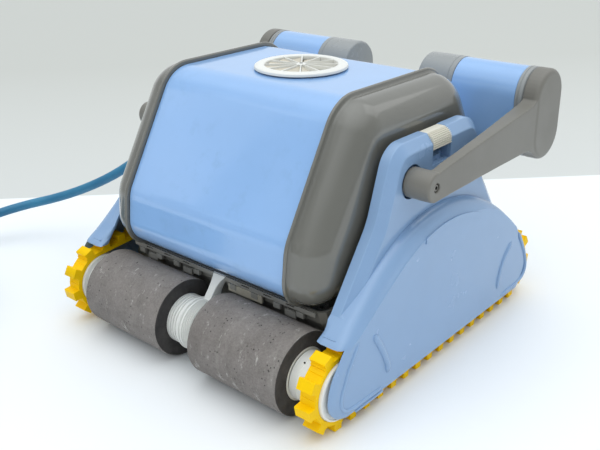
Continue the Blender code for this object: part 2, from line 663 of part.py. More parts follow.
# ---------------------------------------------------------------- cable
def smooth_route(points, count):
    """Evenly spaced points on a smooth curve through the given ones."""
    pts = [Vector(p) for p in points]
    pts = [2 * pts[0] - pts[1]] + pts + [2 * pts[-1] - pts[-2]]
    fine = []
    for i in range(1, len(pts) - 2):
        p0, p1, p2, p3 = pts[i - 1 : i + 3]
        k0, k1, k2 = ((b - a).length ** 0.5 for a, b in ((p0, p1), (p1, p2), (p2, p3)))
        t1, t2, t3 = k0, k0 + k1, k0 + k1 + k2
        for j in range(40):
            t = t1 + (t2 - t1) * j / 40
            a1 = p0 * ((t1 - t) / t1) + p1 * (t / t1)
            a2 = p1 * ((t2 - t) / (t2 - t1)) + p2 * ((t - t1) / (t2 - t1))
            a3 = p2 * ((t3 - t) / (t3 - t2)) + p3 * ((t - t2) / (t3 - t2))
            b1 = a1 * ((t2 - t) / t2) + a2 * (t / t2)
            b2 = a2 * ((t3 - t) / (t3 - t1)) + a3 * ((t - t1) / (t3 - t1))
            fine.append(b1 * ((t2 - t) / (t2 - t1)) + b2 * ((t - t1) / (t2 - t1)))
    fine.append(pts[-2])
    lengths = [0.0]
    for a, b in zip(fine, fine[1:]):
        lengths.append(lengths[-1] + (b - a).length)
    out, i = [], 0
    for k in range(count):
        s = lengths[-1] * k / (count - 1)
        while i < len(fine) - 2 and lengths[i + 1] < s:
            i += 1
        span = lengths[i + 1] - lengths[i]
        out.append(fine[i].lerp(fine[i + 1], (s - lengths[i]) / span if span else 0))
    return out


def pipe(name, points, radii, mat, resolution):
    """A round tube along points, whose radius may change along it."""
    curve = bpy.data.curves.new(name, "CURVE")
    curve.dimensions = "3D"
    curve.bevel_depth = 1.0
    curve.bevel_resolution = resolution
    curve.use_fill_caps = True
    spline = curve.splines.new("POLY")
    spline.points.add(len(points) - 1)
    for point, p, r in zip(spline.points, points, radii):
        point.co = (*p, 1)
        point.radius = r
    obj = bpy.data.objects.new(name, curve)
    bpy.context.scene.collection.objects.link(obj)
    return made(obj, name, mat)


# The cable leaves the left panel, droops forward to the floor, and lies along it to the coil.
COIL_LANE = COIL_AT[0] - COIL_OUT + CABLE_D / 2
ROUTE = [
    EXIT, (-0.2120, 0.0200, 0.2060), (-0.2360, 0.0175, 0.2020), (-0.2640, 0.0080, 0.1830), (-0.3300, -0.0340, 0.1250), (-0.3880, -0.0560, 0.0910),
    (-0.4450, -0.0800, 0.0660), (-0.4830, -0.1130, 0.0540), (-0.5070, -0.1480, 0.0450), (-0.5330, -0.2000, 0.0290),
    (-0.5540, -0.2560, 0.0150), (-0.5680, -0.3100, 0.0085), (COIL_LANE, -0.3560, 0.0075), (COIL_LANE, -0.3760, 0.0075),
]
BOOT = 0.046  # length of the strain relief


def cable_pieces():
    gland = turned(
        "cable_gland",
        [(0, -0.2067), (0.0095, -0.2067), (0.0105, -0.2055), (0.0105, -0.1993), (0, -0.1993)],
        6, "X", (0, EXIT[1], EXIT[2]), DARK,
    )
    gland.data.transform(Matrix.Identity(4))
    route = smooth_route(ROUTE, 600)
    walked = [0.0]
    for a, b in zip(route, route[1:]):
        walked.append(walked[-1] + (b - a).length)
    split = next(i for i, s in enumerate(walked) if s >= BOOT)
    # A short last length at each end keeps its face square to the cable.
    steps = [0, 4] + [round(split * k / 8) for k in range(1, 8)] + [split - 4, split]
    boot = [route[i] for i in steps]
    radii = [0.0098 - 0.0019 * i / split for i in steps]
    pipe("strain_relief", boot, radii, DARK, 3)
    # The tube stops where its side reaches the coil.
    centre = Vector((*COIL_AT, 0))
    reach = COIL_OUT + CABLE_D / 2 + GAP
    stop = next(i for i, p in enumerate(route) if (Vector((p.x, p.y, 0)) - centre).length <= reach) - 1
    start = next(i for i, s in enumerate(walked) if s >= walked[split] + 2 * GAP)
    count = 24
    steps = [round(start + (stop - start) * k / (count - 1)) for k in range(count)]
    picked = [route[i] for i in steps[:1] + [start + 4] + steps[1:-1] + [stop - 4, stop]]
    pipe("cable", picked, [CABLE_D / 2] * len(picked), CABLE, 2)
    rows = [(COIL_IN, COIL_HIGH - 0.005), (COIL_IN + 0.005, COIL_HIGH), (COIL_OUT - 0.005, COIL_HIGH), (COIL_OUT, COIL_HIGH - 0.005), (COIL_OUT, 0.0052), (COIL_OUT - 0.005, 0.0002), (COIL_IN + 0.005, 0.0002), (COIL_IN, 0.0052)]
    turned("cable_coil", rows, 36, "Z", (*COIL_AT, 0), CABLE)
    # The connector lies along the coil's top, in line with the cable's last turn.
    plug = turned(
        "cable_connector",
        [(0, 0.030), (0.0090, 0.030), (0.0090, 0.012), (0.0120, 0.010), (0.0120, -0.016), (0.0085, -0.030), (0, -0.030)],
        16, "Y", (COIL_AT[0] + 0.122, COIL_AT[1] + 0.012, COIL_HIGH + 0.0124), DARK,
    )
    return gland, plug


# ---------------------------------------------------------------- assembly
body_shell()
right_cap = end_cap("right_end_cap")
mirrored(right_cap, "left_end_cap")
outlet_grille()
base_frame()
bottom_lid()
inlet_flap("front_inlet_flap", -1)
inlet_flap("rear_inlet_flap", 1)
lid_latch("front_lid_latch", -1)
lid_latch("rear_lid_latch", 1)
roller_support("front_roller_support", -1)
roller_support("rear_roller_support", 1)
impeller_duct()
pump_motor()
pivot_at(impeller(), (0, 0, 0.2840))
pivot_at(rod("impeller_shaft", 0.0030, 0.2623, 0.2990, (0, 0, 0), STEEL, "Z", 12), (0, 0, 0.2840))

# The filter frame stands on the lid, and the mesh cartridge covers it, open below.
prism("filter_frame", [rounded([(-0.112, -0.090, 0.008), (-0.112, 0.090, 0.008), (0.112, 0.090, 0.008), (0.112, -0.090, 0.008)], 2),
                       rounded([(-0.106, -0.084, 0.005), (-0.106, 0.084, 0.005), (0.106, 0.084, 0.005), (0.106, -0.084, 0.005)], 2)], 0.0275, 0.0640, WHITE, "Z")


def cartridge_row(x, y, z):
    return [(u, v, z) for u, v in rounded([(-x, -y, 0.012), (-x, y, 0.012), (x, y, 0.012), (x, -y, 0.012)], 3)]


loft("filter_cartridge", [cartridge_row(0.094, 0.078, 0.1855), cartridge_row(0.105, 0.085, 0.1700), cartridge_row(0.110, 0.088, 0.0645), cartridge_row(0.112, 0.090, 0.0645),
                    cartridge_row(0.107, 0.087, 0.1710), cartridge_row(0.096, 0.080, 0.1875)], MESH)

for side, word in ((1, "right"), (-1, "left")):
    drive_motor(word + "_drive_motor", side)
    low, high = sorted((side * 0.1549, side * 0.2090))
    pivot_at(rod(word + "_drive_shaft", 0.0040, low, high, (0, 0, DRIVE_Z), STEEL, "X", 12), (0, 0, DRIVE_Z))
    drive_pulley(word + "_drive_pulley", side)
    track(word + "_track", side)
    latch_slider(word + "_latch_slider", side)
    for end, place in ((-1, "front"), (1, "rear")):
        track_wheel("%s_%s_track_wheel" % (place, word), side, end)
        brush_tube("%s_%s_brush_tube" % (place, word), side, end)
        foam_roll("%s_%s_foam_roll" % (place, word), side, end)

mirrored(side_panel("right_side_panel"), "left_side_panel")
mirrored(handle_arm("right_handle_arm"), "left_handle_arm")
mirrored(pivot_screw("right_pivot_screw"), "left_pivot_screw")
# Each float is a hollow cup, and its cap closes the open end.
float_rows = [(0.1963, 0.0036), (0.1108, 0.0036), (0.1108, 0.0006), (0.1993, 0.0006)]
mirrored(loft("right_float", [at_x(x, stadium(d, 8)) for x, d in float_rows], BLUE), "left_float")
cap_rows = [(0.0613, 0.0060), (0.0640, 0.0030), (0.1105, 0.0030), (0.1105, 0.0), (0.0625, 0.0), (0.0595, 0.0016), (0.0583, 0.0040)]
mirrored(loft("right_float_cap", [at_x(x, stadium(d, 8)) for x, d in cap_rows], GREY), "left_float_cap")
ring_rows = [(0.1996, 0.0), (0.2075, 0.0), (0.2095, 0.0020)]
mirrored(loft("right_float_collar", [at_x(x, stadium(d, 8)) for x, d in ring_rows], GREY), "left_float_collar")
rod("handle_grip_bar", 0.0115, -0.0580, 0.0580, (0, FLOAT_Y, 0.2520), ARM_GREY, "X", 20)
cable_pieces()

for piece in PARTS.objects:
    if "handle" in piece.name or "float" in piece.name:
        pivot_at(piece, (0, PIVOT_Y, PIVOT_Z))
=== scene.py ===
"""Looks for the tracked pool cleaner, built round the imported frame."""
import math

import bmesh
import bpy
from mathutils import Matrix, Vector, noise


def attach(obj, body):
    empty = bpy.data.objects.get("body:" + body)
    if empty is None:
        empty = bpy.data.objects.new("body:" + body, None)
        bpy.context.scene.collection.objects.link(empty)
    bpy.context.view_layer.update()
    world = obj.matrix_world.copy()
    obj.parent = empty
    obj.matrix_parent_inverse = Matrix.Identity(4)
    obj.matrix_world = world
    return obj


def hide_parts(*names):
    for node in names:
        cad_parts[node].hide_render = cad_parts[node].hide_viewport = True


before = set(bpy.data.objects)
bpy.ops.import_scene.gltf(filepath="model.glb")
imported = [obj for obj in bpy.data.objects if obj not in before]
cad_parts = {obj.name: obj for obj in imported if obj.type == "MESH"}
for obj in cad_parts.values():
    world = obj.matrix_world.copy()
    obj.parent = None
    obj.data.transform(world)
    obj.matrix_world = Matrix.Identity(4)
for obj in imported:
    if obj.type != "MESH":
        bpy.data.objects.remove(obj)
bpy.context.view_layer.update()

# ---------------------------------------------------------------- dimensions shared with the CAD
AXLE_Y, AXLE_Z = 0.1845, 0.0485
FOAM_R, FOAM_IN, FOAM_OUT = 0.0482, 0.0270, 0.1597
HUB_R, BELT_R, BELT_HALF, TIP_R = 0.0275, 0.0370, 0.0025, 0.0485
BELT_IN, BELT_OUT, CLEATS, PHASE, DRIVE_Z = 0.1860, 0.2060, 39, 0.0016, 0.0620
PANEL_IN, PANEL_FACE = 0.1785, 0.2150
PIVOT_Y, PIVOT_Z = -0.0550, 0.2355
FLOAT_Y, FLOAT_LOW, FLOAT_TOP, FLOAT_HALF = 0.1950, 0.2005, 0.3135, 0.0345
BODY_TOP = 0.3200
CABLE_D = 0.0140
EXIT = (-0.2070, 0.0200, 0.2060)
COIL_AT, COIL_OUT = (-0.4250, -0.4350), 0.1575
X = Vector((1, 0, 0))


# ---------------------------------------------------------------- camera
def place_camera():
    cam = bpy.data.objects.new("camera", bpy.data.cameras.new("camera"))
    bpy.context.scene.collection.objects.link(cam)
    right = Vector((0.75731, 0.65291, -0.01392))
    up = Vector((-0.25104, 0.31073, 0.91675))
    ahead = Vector((-0.60288, 0.69077, -0.39922))
    turn = Matrix((right, up, -ahead)).transposed().to_4x4()
    cam.matrix_world = Matrix.Translation((0.63607, -0.73537, 0.53676)) @ turn
    cam.data.lens, cam.data.sensor_width = 49.052, 36
    cam.data.clip_start, cam.data.clip_end = 0.02, 50
    bpy.context.scene.camera = cam


place_camera()
bpy.context.scene.view_settings.view_transform = "Standard"


# ---------------------------------------------------------------- cable
def smooth_route(points, count):
    """Evenly spaced points on a smooth curve through the given ones."""
    pts = [Vector(p) for p in points]
    pts = [2 * pts[0] - pts[1]] + pts + [2 * pts[-1] - pts[-2]]
    fine = []
    for i in range(1, len(pts) - 2):
        p0, p1, p2, p3 = pts[i - 1 : i + 3]
        k0, k1, k2 = ((b - a).length ** 0.5 for a, b in ((p0, p1), (p1, p2), (p2, p3)))
        t1, t2, t3 = k0, k0 + k1, k0 + k1 + k2
        for j in range(40):
            t = t1 + (t2 - t1) * j / 40
            a1 = p0 * ((t1 - t) / t1) + p1 * (t / t1)
            a2 = p1 * ((t2 - t) / (t2 - t1)) + p2 * ((t - t1) / (t2 - t1))
            a3 = p2 * ((t3 - t) / (t3 - t2)) + p3 * ((t - t2) / (t3 - t2))
            b1 = a1 * ((t2 - t) / t2) + a2 * (t / t2)
            b2 = a2 * ((t3 - t) / (t3 - t1)) + a3 * ((t - t1) / (t3 - t1))
            fine.append(b1 * ((t2 - t) / (t2 - t1)) + b2 * ((t - t1) / (t2 - t1)))
    fine.append(pts[-2])
    lengths = [0.0]
    for a, b in zip(fine, fine[1:]):
        lengths.append(lengths[-1] + (b - a).length)
    out, i = [], 0
    for k in range(count):
        s = lengths[-1] * k / (count - 1)
        while i < len(fine) - 2 and lengths[i + 1] < s:
            i += 1
        span = lengths[i + 1] - lengths[i]
        out.append(fine[i].lerp(fine[i + 1], (s - lengths[i]) / span if span else 0))
    return out


LANE = COIL_AT[0] - COIL_OUT + CABLE_D / 2
ROUTE = [
    EXIT, (-0.2120, 0.0200, 0.2060), (-0.2360, 0.0175, 0.2020), (-0.2640, 0.0080, 0.1830), (-0.3300, -0.0340, 0.1250),
    (-0.3880, -0.0560, 0.0910), (-0.4450, -0.0800, 0.0660), (-0.4830, -0.1130, 0.0540), (-0.5070, -0.1480, 0.0450),
    (-0.5330, -0.2000, 0.0290), (-0.5540, -0.2560, 0.0150), (-0.5680, -0.3100, 0.0085), (LANE, -0.3560, 0.0075),
    (LANE, -0.3760, 0.0075),
]


def coil_points():
    """Four layers of neat turns: each layer steps in or out once a turn, and climbs once at its end."""
    pitch = 0.0142
    rings = [COIL_OUT - CABLE_D / 2 - pitch * k for k in range(5)]
    turns = []  # (angle, radius, height) corners, angles growing
    inwards, outwards = rings, rings[::-1]
    plan = (
        (180, inwards, 300, 180),  # start angle, rings, where it steps, where it climbs
        (240, outwards, 120, 60),
        (120, inwards, 0, 300),
        (0, outwards, 240, 200),
    )
    angle, z = 180.0, 0.0074
    for layer, (start, radii, step, climb) in enumerate(plan):
        turns.append((angle, radii[0], z))
        for a, b in zip(radii, radii[1:]):
            at = angle + ((step - angle) % 360)
            turns += [(at, a, z), (at + 60, b, z)]
            angle = at + 60
        at = angle + ((climb - angle) % 360)
        turns.append((at, radii[-1], z))
        angle = at + 60
        z += pitch
        turns.append((angle, radii[-1], z))
    # From the outer ring the end passes inwards, over the top, to the connector.
    end = Vector((COIL_AT[0] + 0.122, COIL_AT[1] + 0.012 - 0.0300, 0.0694)) - Vector((*COIL_AT, 0))
    last = math.degrees(math.atan2(end.y, end.x)) % 360
    turns.append((angle + ((last - 12 - angle) % 360), math.hypot(end.x, end.y) + 0.0006, end.z))
    out = []
    for (a0, r0, z0), (a1, r1, z1) in zip(turns, turns[1:]):
        count = max(1, round((a1 - a0) / 15))
        for k in range(count):
            t = k / count
            ease = t * t * (3 - 2 * t)
            a = math.radians(a0 + (a1 - a0) * t)
            r, h = r0 + (r1 - r0) * ease, z0 + (z1 - z0) * ease
            out.append(Vector((COIL_AT[0] + r * math.cos(a), COIL_AT[1] + r * math.sin(a), h)))
    a, r, h = turns[-1]
    out.append(Vector((COIL_AT[0] + r * math.cos(math.radians(a)), COIL_AT[1] + r * math.sin(math.radians(a)), h)))
    out.append(end + Vector((*COIL_AT, 0)) + Vector((0, 0.003, 0)))
    return out


def tube_curve(name, points, radii, resolution):
    curve = bpy.data.curves.new(name, "CURVE")
    curve.dimensions = "3D"
    curve.bevel_depth = 1.0
    curve.bevel_resolution = resolution
    curve.use_fill_caps = True
    spline = curve.splines.new("POLY")
    spline.points.add(len(points) - 1)
    for point, p, r in zip(spline.points, points, radii):
        point.co = (*p, 1)
        point.radius = r
    spline.use_smooth = True
    obj = bpy.data.objects.new(name, curve)
    bpy.context.scene.collection.objects.link(obj)
    return obj


line = smooth_route(ROUTE, 40) + coil_points()
cable = tube_curve("floating_cable", line, [CABLE_D / 2] * len(line), 5)
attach(cable, "chassis")
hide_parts("cable", "cable_coil")


# ---------------------------------------------------------------- materials
class Nodes:
    """A short way to write a node tree."""

    def __init__(self, name):
        self.mat = bpy.data.materials.new(name)
        self.mat.use_nodes = True
        self.tree = self.mat.node_tree
        self.bsdf = self.tree.nodes["Principled BSDF"]
        self.coord = self.add("ShaderNodeTexCoord").outputs["Object"]

    def add(self, kind, **values):
        node = self.tree.nodes.new(kind)
        for key, value in values.items():
            setattr(node, key, value)
        return node

    def wire(self, a, b):
        self.tree.links.new(a, b)

    def scaled(self, scale):
        m = self.add("ShaderNodeMapping")
        self.wire(self.coord, m.inputs["Vector"])
        m.inputs["Scale"].default_value = scale
        return m.outputs["Vector"]

    def noise(self, scale, detail=3.0, rough=0.55, vector=None):
        n = self.add("ShaderNodeTexNoise")
        self.wire(vector or self.coord, n.inputs["Vector"])
        n.inputs["Scale"].default_value = scale
        n.inputs["Detail"].default_value = detail
        n.inputs["Roughness"].default_value = rough
        return n.outputs["Fac"]

    def cells(self, scale, vector=None, feature="F1"):
        n = self.add("ShaderNodeTexVoronoi", feature=feature)
        self.wire(vector or self.coord, n.inputs["Vector"])
        n.inputs["Scale"].default_value = scale
        return n.outputs["Distance"]

    def span(self, value, a, b, to_a=0.0, to_b=1.0):
        n = self.add("ShaderNodeMapRange")
        self.wire(value, n.inputs["Value"])
        for key, v in zip(("From Min", "From Max", "To Min", "To Max"), (a, b, to_a, to_b)):
            n.inputs[key].default_value = v
        return n.outputs["Result"]

    def math(self, op, a, b):
        n = self.add("ShaderNodeMath", operation=op)
        for k, v in enumerate((a, b)):
            if isinstance(v, (int, float)):
                n.inputs[k].default_value = v
            else:
                self.wire(v, n.inputs[k])
        return n.outputs[0]

    def mix(self, fac, a, b):
        n = self.add("ShaderNodeMix", data_type="RGBA")
        self.wire(fac, n.inputs[0])
        for k, v in ((6, a), (7, b)):
            if isinstance(v, tuple):
                n.inputs[k].default_value = (*v, 1)
            else:
                self.wire(v, n.inputs[k])
        return n.outputs[2]

    def bump(self, height, strength, distance, after=None):
        n = self.add("ShaderNodeBump")
        n.inputs["Strength"].default_value = strength
        n.inputs["Distance"].default_value = distance
        self.wire(height, n.inputs["Height"])
        if after:
            self.wire(after, n.inputs["Normal"])
        return n.outputs["Normal"]

    def done(self, color=None, rough=None, normal=None, **fixed):
        for key, v in (("Base Color", color), ("Roughness", rough), ("Normal", normal)):
            if isinstance(v, tuple):
                self.bsdf.inputs[key].default_value = (*v, 1)
            elif isinstance(v, (int, float)):
                self.bsdf.inputs[key].default_value = v
            elif v is not None:
                self.wire(v, self.bsdf.inputs[key])
        for key, v in fixed.items():
            self.bsdf.inputs[key.replace("_", " ")].default_value = v
        return self.mat


def plastic(name, color, rough, shift=0.06, grain=0.02, marks=0.0, **fixed):
    """Moulded plastic: slight colour drift, faint mould grain, and dried water marks where asked."""
    n = Nodes(name)
    dark = tuple(c * (1 - shift) for c in color)
    light = tuple(min(1, c * (1 + shift)) for c in color)
    base = n.mix(n.span(n.noise(7, 4), 0.3, 0.7), dark, light)
    rough_out = n.span(n.noise(22, 5), 0.25, 0.75, rough * 0.85, rough * 1.2)
    if marks:
        spots = n.math("MULTIPLY", n.span(n.noise(46, 6, 0.7), 0.52, 0.68), n.span(n.noise(9, 2), 0.42, 0.62))
        base = n.mix(n.math("MULTIPLY", spots, marks), base, tuple(c * 0.80 for c in color))
        rough_out = n.math("ADD", rough_out, n.math("MULTIPLY", spots, 0.10))
    normal = n.bump(n.noise(900, 2), grain, 0.0002)
    normal = n.bump(n.noise(14, 2), 0.05, 0.002, normal)
    return n.done(base, rough_out, normal, **fixed)


def foam_material():
    n = Nodes("sponge")
    mottle = n.mix(n.span(n.noise(38, 9, 0.72), 0.36, 0.66), (0.158, 0.142, 0.132), (0.232, 0.212, 0.200))
    grit = n.span(n.noise(420, 4, 0.7), 0.35, 0.66)
    mottle = n.mix(n.math("MULTIPLY", grit, 0.40), mottle, (0.325, 0.305, 0.290))
    streak = n.span(n.noise(24, 6, 0.7, n.scaled((2.4, 0.8, 0.8))), 0.56, 0.72)
    mottle = n.mix(n.math("MULTIPLY", streak, 0.35), mottle, (0.36, 0.35, 0.32))
    scratch = n.span(n.noise(95, 6, 0.75, n.scaled((1.0, 0.45, 0.45))), 0.59, 0.67)
    mottle = n.mix(n.math("MULTIPLY", scratch, 0.75), mottle, (0.50, 0.49, 0.46))
    stain = n.span(n.noise(13, 4), 0.55, 0.72)
    mottle = n.mix(n.math("MULTIPLY", stain, 0.35), mottle, (0.150, 0.135, 0.125))
    # The pores and the fine specks are painted dark exactly where the bump below sinks them: painted shade in the pits.
    pore = n.span(n.cells(210), 0.16, 0.24, 1.0, 0.0)
    some = n.span(n.noise(60, 3), 0.52, 0.57)
    big = n.math("MULTIPLY", pore, some)
    mottle = n.mix(n.math("MULTIPLY", big, 0.85), mottle, (0.040, 0.037, 0.034))
    fine = n.span(n.cells(1000), 0.12, 0.5)
    mottle = n.mix(n.math("MULTIPLY", n.math("SUBTRACT", 1.0, fine), 0.30), mottle, (0.085, 0.080, 0.072))
    normal = n.bump(n.math("SUBTRACT", fine, n.math("MULTIPLY", big, 2.5)), 0.45, 0.0007)
    normal = n.bump(n.noise(40, 5), 0.35, 0.0015, normal)
    return n.done(mottle, 0.9, normal)


# The sponge's flat end faces, in the narrow gaps beside the wheels and the housing, are painted near black: painted
# shade.
def foam_end_shade_material():
    n = Nodes("sponge_end_painted_shade")
    base = n.mix(n.span(n.noise(90, 5), 0.3, 0.7), (0.030, 0.028, 0.028), (0.062, 0.058, 0.056))
    return n.done(base, 0.95, n.bump(n.span(n.cells(700), 0.1, 0.5), 0.3, 0.0005))


def cable_material():
    n = Nodes("cable_jacket")
    base = n.mix(n.span(n.noise(18, 3), 0.3, 0.7), (0.014, 0.150, 0.290), (0.030, 0.215, 0.370))
    return n.done(base, n.span(n.noise(60, 3), 0.3, 0.7, 0.35, 0.55), n.bump(n.noise(500, 2), 0.05, 0.0004))


def steel_material():
    n = Nodes("turned_steel")
    rough = n.span(n.noise(200, 3), 0.3, 0.7, 0.18, 0.34)
    return n.done((0.22, 0.21, 0.19), rough, n.bump(n.noise(700, 2), 0.05, 0.0002), Metallic=1.0)


def tray_material():
    n = Nodes("tray_plastic")
    base = n.mix(n.span(n.noise(12, 5), 0.3, 0.7), (0.20, 0.20, 0.185), (0.27, 0.265, 0.245))
    dirt = n.span(n.noise(38, 6, 0.7), 0.62, 0.74)
    base = n.mix(n.math("MULTIPLY", dirt, 0.5), base, (0.16, 0.09, 0.035))
    return n.done(base, 0.5, n.bump(n.noise(500, 2), 0.05, 0.0003))


def mesh_material():
    n = Nodes("filter_mesh")
    weave = n.span(n.cells(650), 0.1, 0.45)
    base = n.mix(weave, (0.30, 0.30, 0.29), (0.72, 0.72, 0.69))
    return n.done(base, 0.7, n.bump(weave, 0.5, 0.0005))


BLUE = plastic("blue_plastic", (0.276, 0.476, 0.805), 0.12, 0.03, 0.015, 0.35, Coat_Weight=0.35)
PANEL_BLUE = plastic("blue_panel_plastic", (0.244, 0.388, 0.612), 0.24, 0.04, 0.02, Coat_Weight=0.25)
GREY = plastic("grey_plastic", (0.150, 0.150, 0.134), 0.12, 0.05, 0.015, 0.30, Coat_Weight=0.5)
FLOAT_GREY = plastic("float_grey_plastic", (0.295, 0.312, 0.315), 0.26, 0.05, 0.03)
ARM_GREY = plastic("arm_plastic", (0.178, 0.172, 0.152), 0.40, 0.05, 0.05)
WHITE = plastic("white_plastic", (0.78, 0.79, 0.76), 0.38, 0.04, 0.03, 0.12)
BEIGE = plastic("beige_plastic", (0.70, 0.68, 0.59), 0.42, 0.05, 0.03, 0.2)
# The outlet blades, down between the grille's ribs, get a darker beige than the white ring: painted shade for the
# recess, with water marks.
LOUVER_SHADE = plastic("outlet_louver_painted_shade", (0.56, 0.52, 0.43), 0.5, 0.10, 0.05, 0.4)
DIM_BEIGE = plastic("dim_beige_tray_plastic", (0.36, 0.34, 0.28), 0.5, 0.18, 0.05, 0.5)
YELLOW = plastic("yellow_rubber", (0.96, 0.60, 0.001), 0.42, 0.05, 0.06, 0.20, Specular_IOR_Level=0.12)
DARK = plastic("dark_plastic", (0.018, 0.018, 0.020), 0.45, 0.2, 0.05)
# Near-black blue for the ring in the groove by each end cap: painted shade.
GROOVE_SHADE = plastic("groove_painted_shade", (0.010, 0.022, 0.045), 0.5, 0.2, 0.05)
TRAY, FOAM, FOAM_END_SHADE, CABLE, STEEL, MESH = (
    tray_material(), foam_material(), foam_end_shade_material(), cable_material(), steel_material(), mesh_material(),
)
cable.data.materials.append(CABLE)


# ---------------------------------------------------------------- modelling helpers
ACROSS = {
    "X": Matrix(((0, 0, 1, 0), (1, 0, 0, 0), (0, 1, 0, 0), (0, 0, 0, 1))),
    "Y": Matrix(((1, 0, 0, 0), (0, 0, -1, 0), (0, 1, 0, 0), (0, 0, 0, 1))),
    "Z": Matrix.Identity(4),
}


def linked(name, data):
    obj = bpy.data.objects.new(name, data)
    bpy.context.scene.collection.objects.link(obj)
    return obj


def tidy(mesh, angle=32):
    bm = bmesh.new()
    bm.from_mesh(mesh)
    bmesh.ops.remove_doubles(bm, verts=bm.verts, dist=1e-6)
    bmesh.ops.recalc_face_normals(bm, faces=bm.faces)
    bm.to_mesh(mesh)
    bm.free()
    mesh.shade_smooth()
    mesh.set_sharp_from_angle(angle=math.radians(angle))
    return mesh


def baked(obj, name=None, angle=32):
    """The evaluated form of obj as a new mesh object in world space; obj goes."""
    bpy.context.view_layer.update()
    mesh = bpy.data.meshes.new_from_object(obj.evaluated_get(bpy.context.evaluated_depsgraph_get()))
    mesh.transform(obj.matrix_world)
    name = name or obj.name
    bpy.data.objects.remove(obj, do_unlink=True)
    new = linked(name, tidy(mesh, angle))
    new.name = name
    return new


def prism(name, outlines, low, high, axis="X"):
    curve = bpy.data.curves.new(name, "CURVE")
    curve.dimensions = "2D"
    curve.fill_mode = "BOTH"
    curve.extrude = (high - low) / 2
    for outline in outlines:
        spline = curve.splines.new("POLY")
        spline.points.add(len(outline) - 1)
        for point, (u, v) in zip(spline.points, outline):
            point.co = (u, v, 0, 1)
        spline.use_cyclic_u = True
    obj = linked(name, curve)
    middle = (low + high) / 2 * (-1 if axis == "Y" else 1)
    obj.matrix_world = ACROSS[axis] @ Matrix.Translation((0, 0, middle))
    return baked(obj, name)


def turned(name, profile, steps, axis, at):
    """A closed profile of (radius, height) turned about an axis."""
    bm = bmesh.new()
    on_axis = profile[0][0] < 1e-9 and profile[-1][0] < 1e-9
    rows = []
    for r, h in profile:
        if r < 1e-9:
            rows.append([bm.verts.new((0, 0, h))])
        else:
            rows.append([bm.verts.new((r * math.cos(2 * math.pi * k / steps), r * math.sin(2 * math.pi * k / steps), h)) for k in range(steps)])
    pairs = list(zip(rows, rows[1:])) + ([] if on_axis else [(rows[-1], rows[0])])
    for a, b in pairs:
        for k in range(steps):
            j = (k + 1) % steps
            if len(a) == 1 and len(b) == 1:
                continue
            if len(a) == 1:
                bm.faces.new((a[0], b[k], b[j]))
            elif len(b) == 1:
                bm.faces.new((a[k], a[j], b[0]))
            else:
                bm.faces.new((a[k], a[j], b[j], b[k]))
    mesh = bpy.data.meshes.new(name)
    bm.to_mesh(mesh)
    bm.free()
    turn = {"X": Matrix.Rotation(math.pi / 2, 4, "Y"), "Y": Matrix.Rotation(-math.pi / 2, 4, "X"), "Z": Matrix.Identity(4)}[axis]
    mesh.transform(Matrix.Translation(at) @ turn)
    return linked(name, tidy(mesh))


def rod(name, radius, low, high, at, axis="X", steps=32):
    return turned(name, [(0, high), (radius, high), (radius, low), (0, low)], steps, axis, at)


def box(name, low, high):
    bm = bmesh.new()
    bmesh.ops.create_cube(bm, size=1)
    bmesh.ops.scale(bm, vec=[b - a for a, b in zip(low, high)], verts=bm.verts)
    bmesh.ops.translate(bm, vec=[(a + b) / 2 for a, b in zip(low, high)], verts=bm.verts)
    mesh = bpy.data.meshes.new(name)
    bm.to_mesh(mesh)
    bm.free()
    return linked(name, mesh)


def loft(name, rows, angle=32):
    bm = bmesh.new()
    loops = [[bm.verts.new(p) for p in row] for row in rows]
    count = len(loops[0])
    for a, b in zip(loops, loops[1:]):
        for i in range(count):
            j = (i + 1) % count
            bm.faces.new((a[i], a[j], b[j], b[i]))
    bm.faces.new(loops[0][::-1])
    bm.faces.new(loops[-1])
    mesh = bpy.data.meshes.new(name)
    bm.to_mesh(mesh)
    bm.free()
    return linked(name, tidy(mesh, angle))


def solve(obj, cuts=(), joins=(), name=None):
    """Joins, then cuts, and bakes the result; the tools go."""
    for others, operation in ((joins, "UNION"), (cuts, "DIFFERENCE")):
        for other in others:
            mod = obj.modifiers.new(other.name, "BOOLEAN")
            mod.operation = operation
            mod.solver = "EXACT"
            mod.object = other
    out = baked(obj, name or obj.name)
    for other in list(cuts) + list(joins):
        bpy.data.objects.remove(other, do_unlink=True)
    return out


def softened(obj, width=0.0006, segments=2, angle=32, smooth=42):
    """Rounds an object's edges."""
    mod = obj.modifiers.new("edges", "BEVEL")
    mod.width = width
    mod.segments = segments
    mod.limit_method = "ANGLE"
    mod.angle_limit = math.radians(angle)
    mod.use_clamp_overlap = True
    mod.miter_outer = "MITER_ARC"
    out = baked(obj, obj.name, smooth)
    weighted = out.modifiers.new("normals", "WEIGHTED_NORMAL")
    weighted.keep_sharp = True
    weighted.weight = 80
    return out


def merged(name, objs):
    """Several separate shapes as one object."""
    bm = bmesh.new()
    for o in objs:
        mesh = o.data.copy()
        mesh.transform(o.matrix_world)
        bm.from_mesh(mesh)
        bpy.data.meshes.remove(mesh)
        bpy.data.objects.remove(o, do_unlink=True)
    mesh = bpy.data.meshes.new(name)
    bm.to_mesh(mesh)
    bm.free()
    mesh.shade_smooth()
    mesh.set_sharp_from_angle(angle=math.radians(35))
    return linked(name, mesh)


def placed(obj, body, mat, slot=None, *nodes):
    if mat:
        obj.data.materials.clear()
        obj.data.materials.append(mat)
    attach(obj, body)
    if nodes:
        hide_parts(*nodes)
    return obj


def mirrored(obj, name):
    bpy.context.view_layer.update()
    mesh = bpy.data.meshes.new_from_object(obj.evaluated_get(bpy.context.evaluated_depsgraph_get()))
    mesh.transform(Matrix.Scale(-1, 4, X))
    mesh.flip_normals()
    return linked(name, mesh)


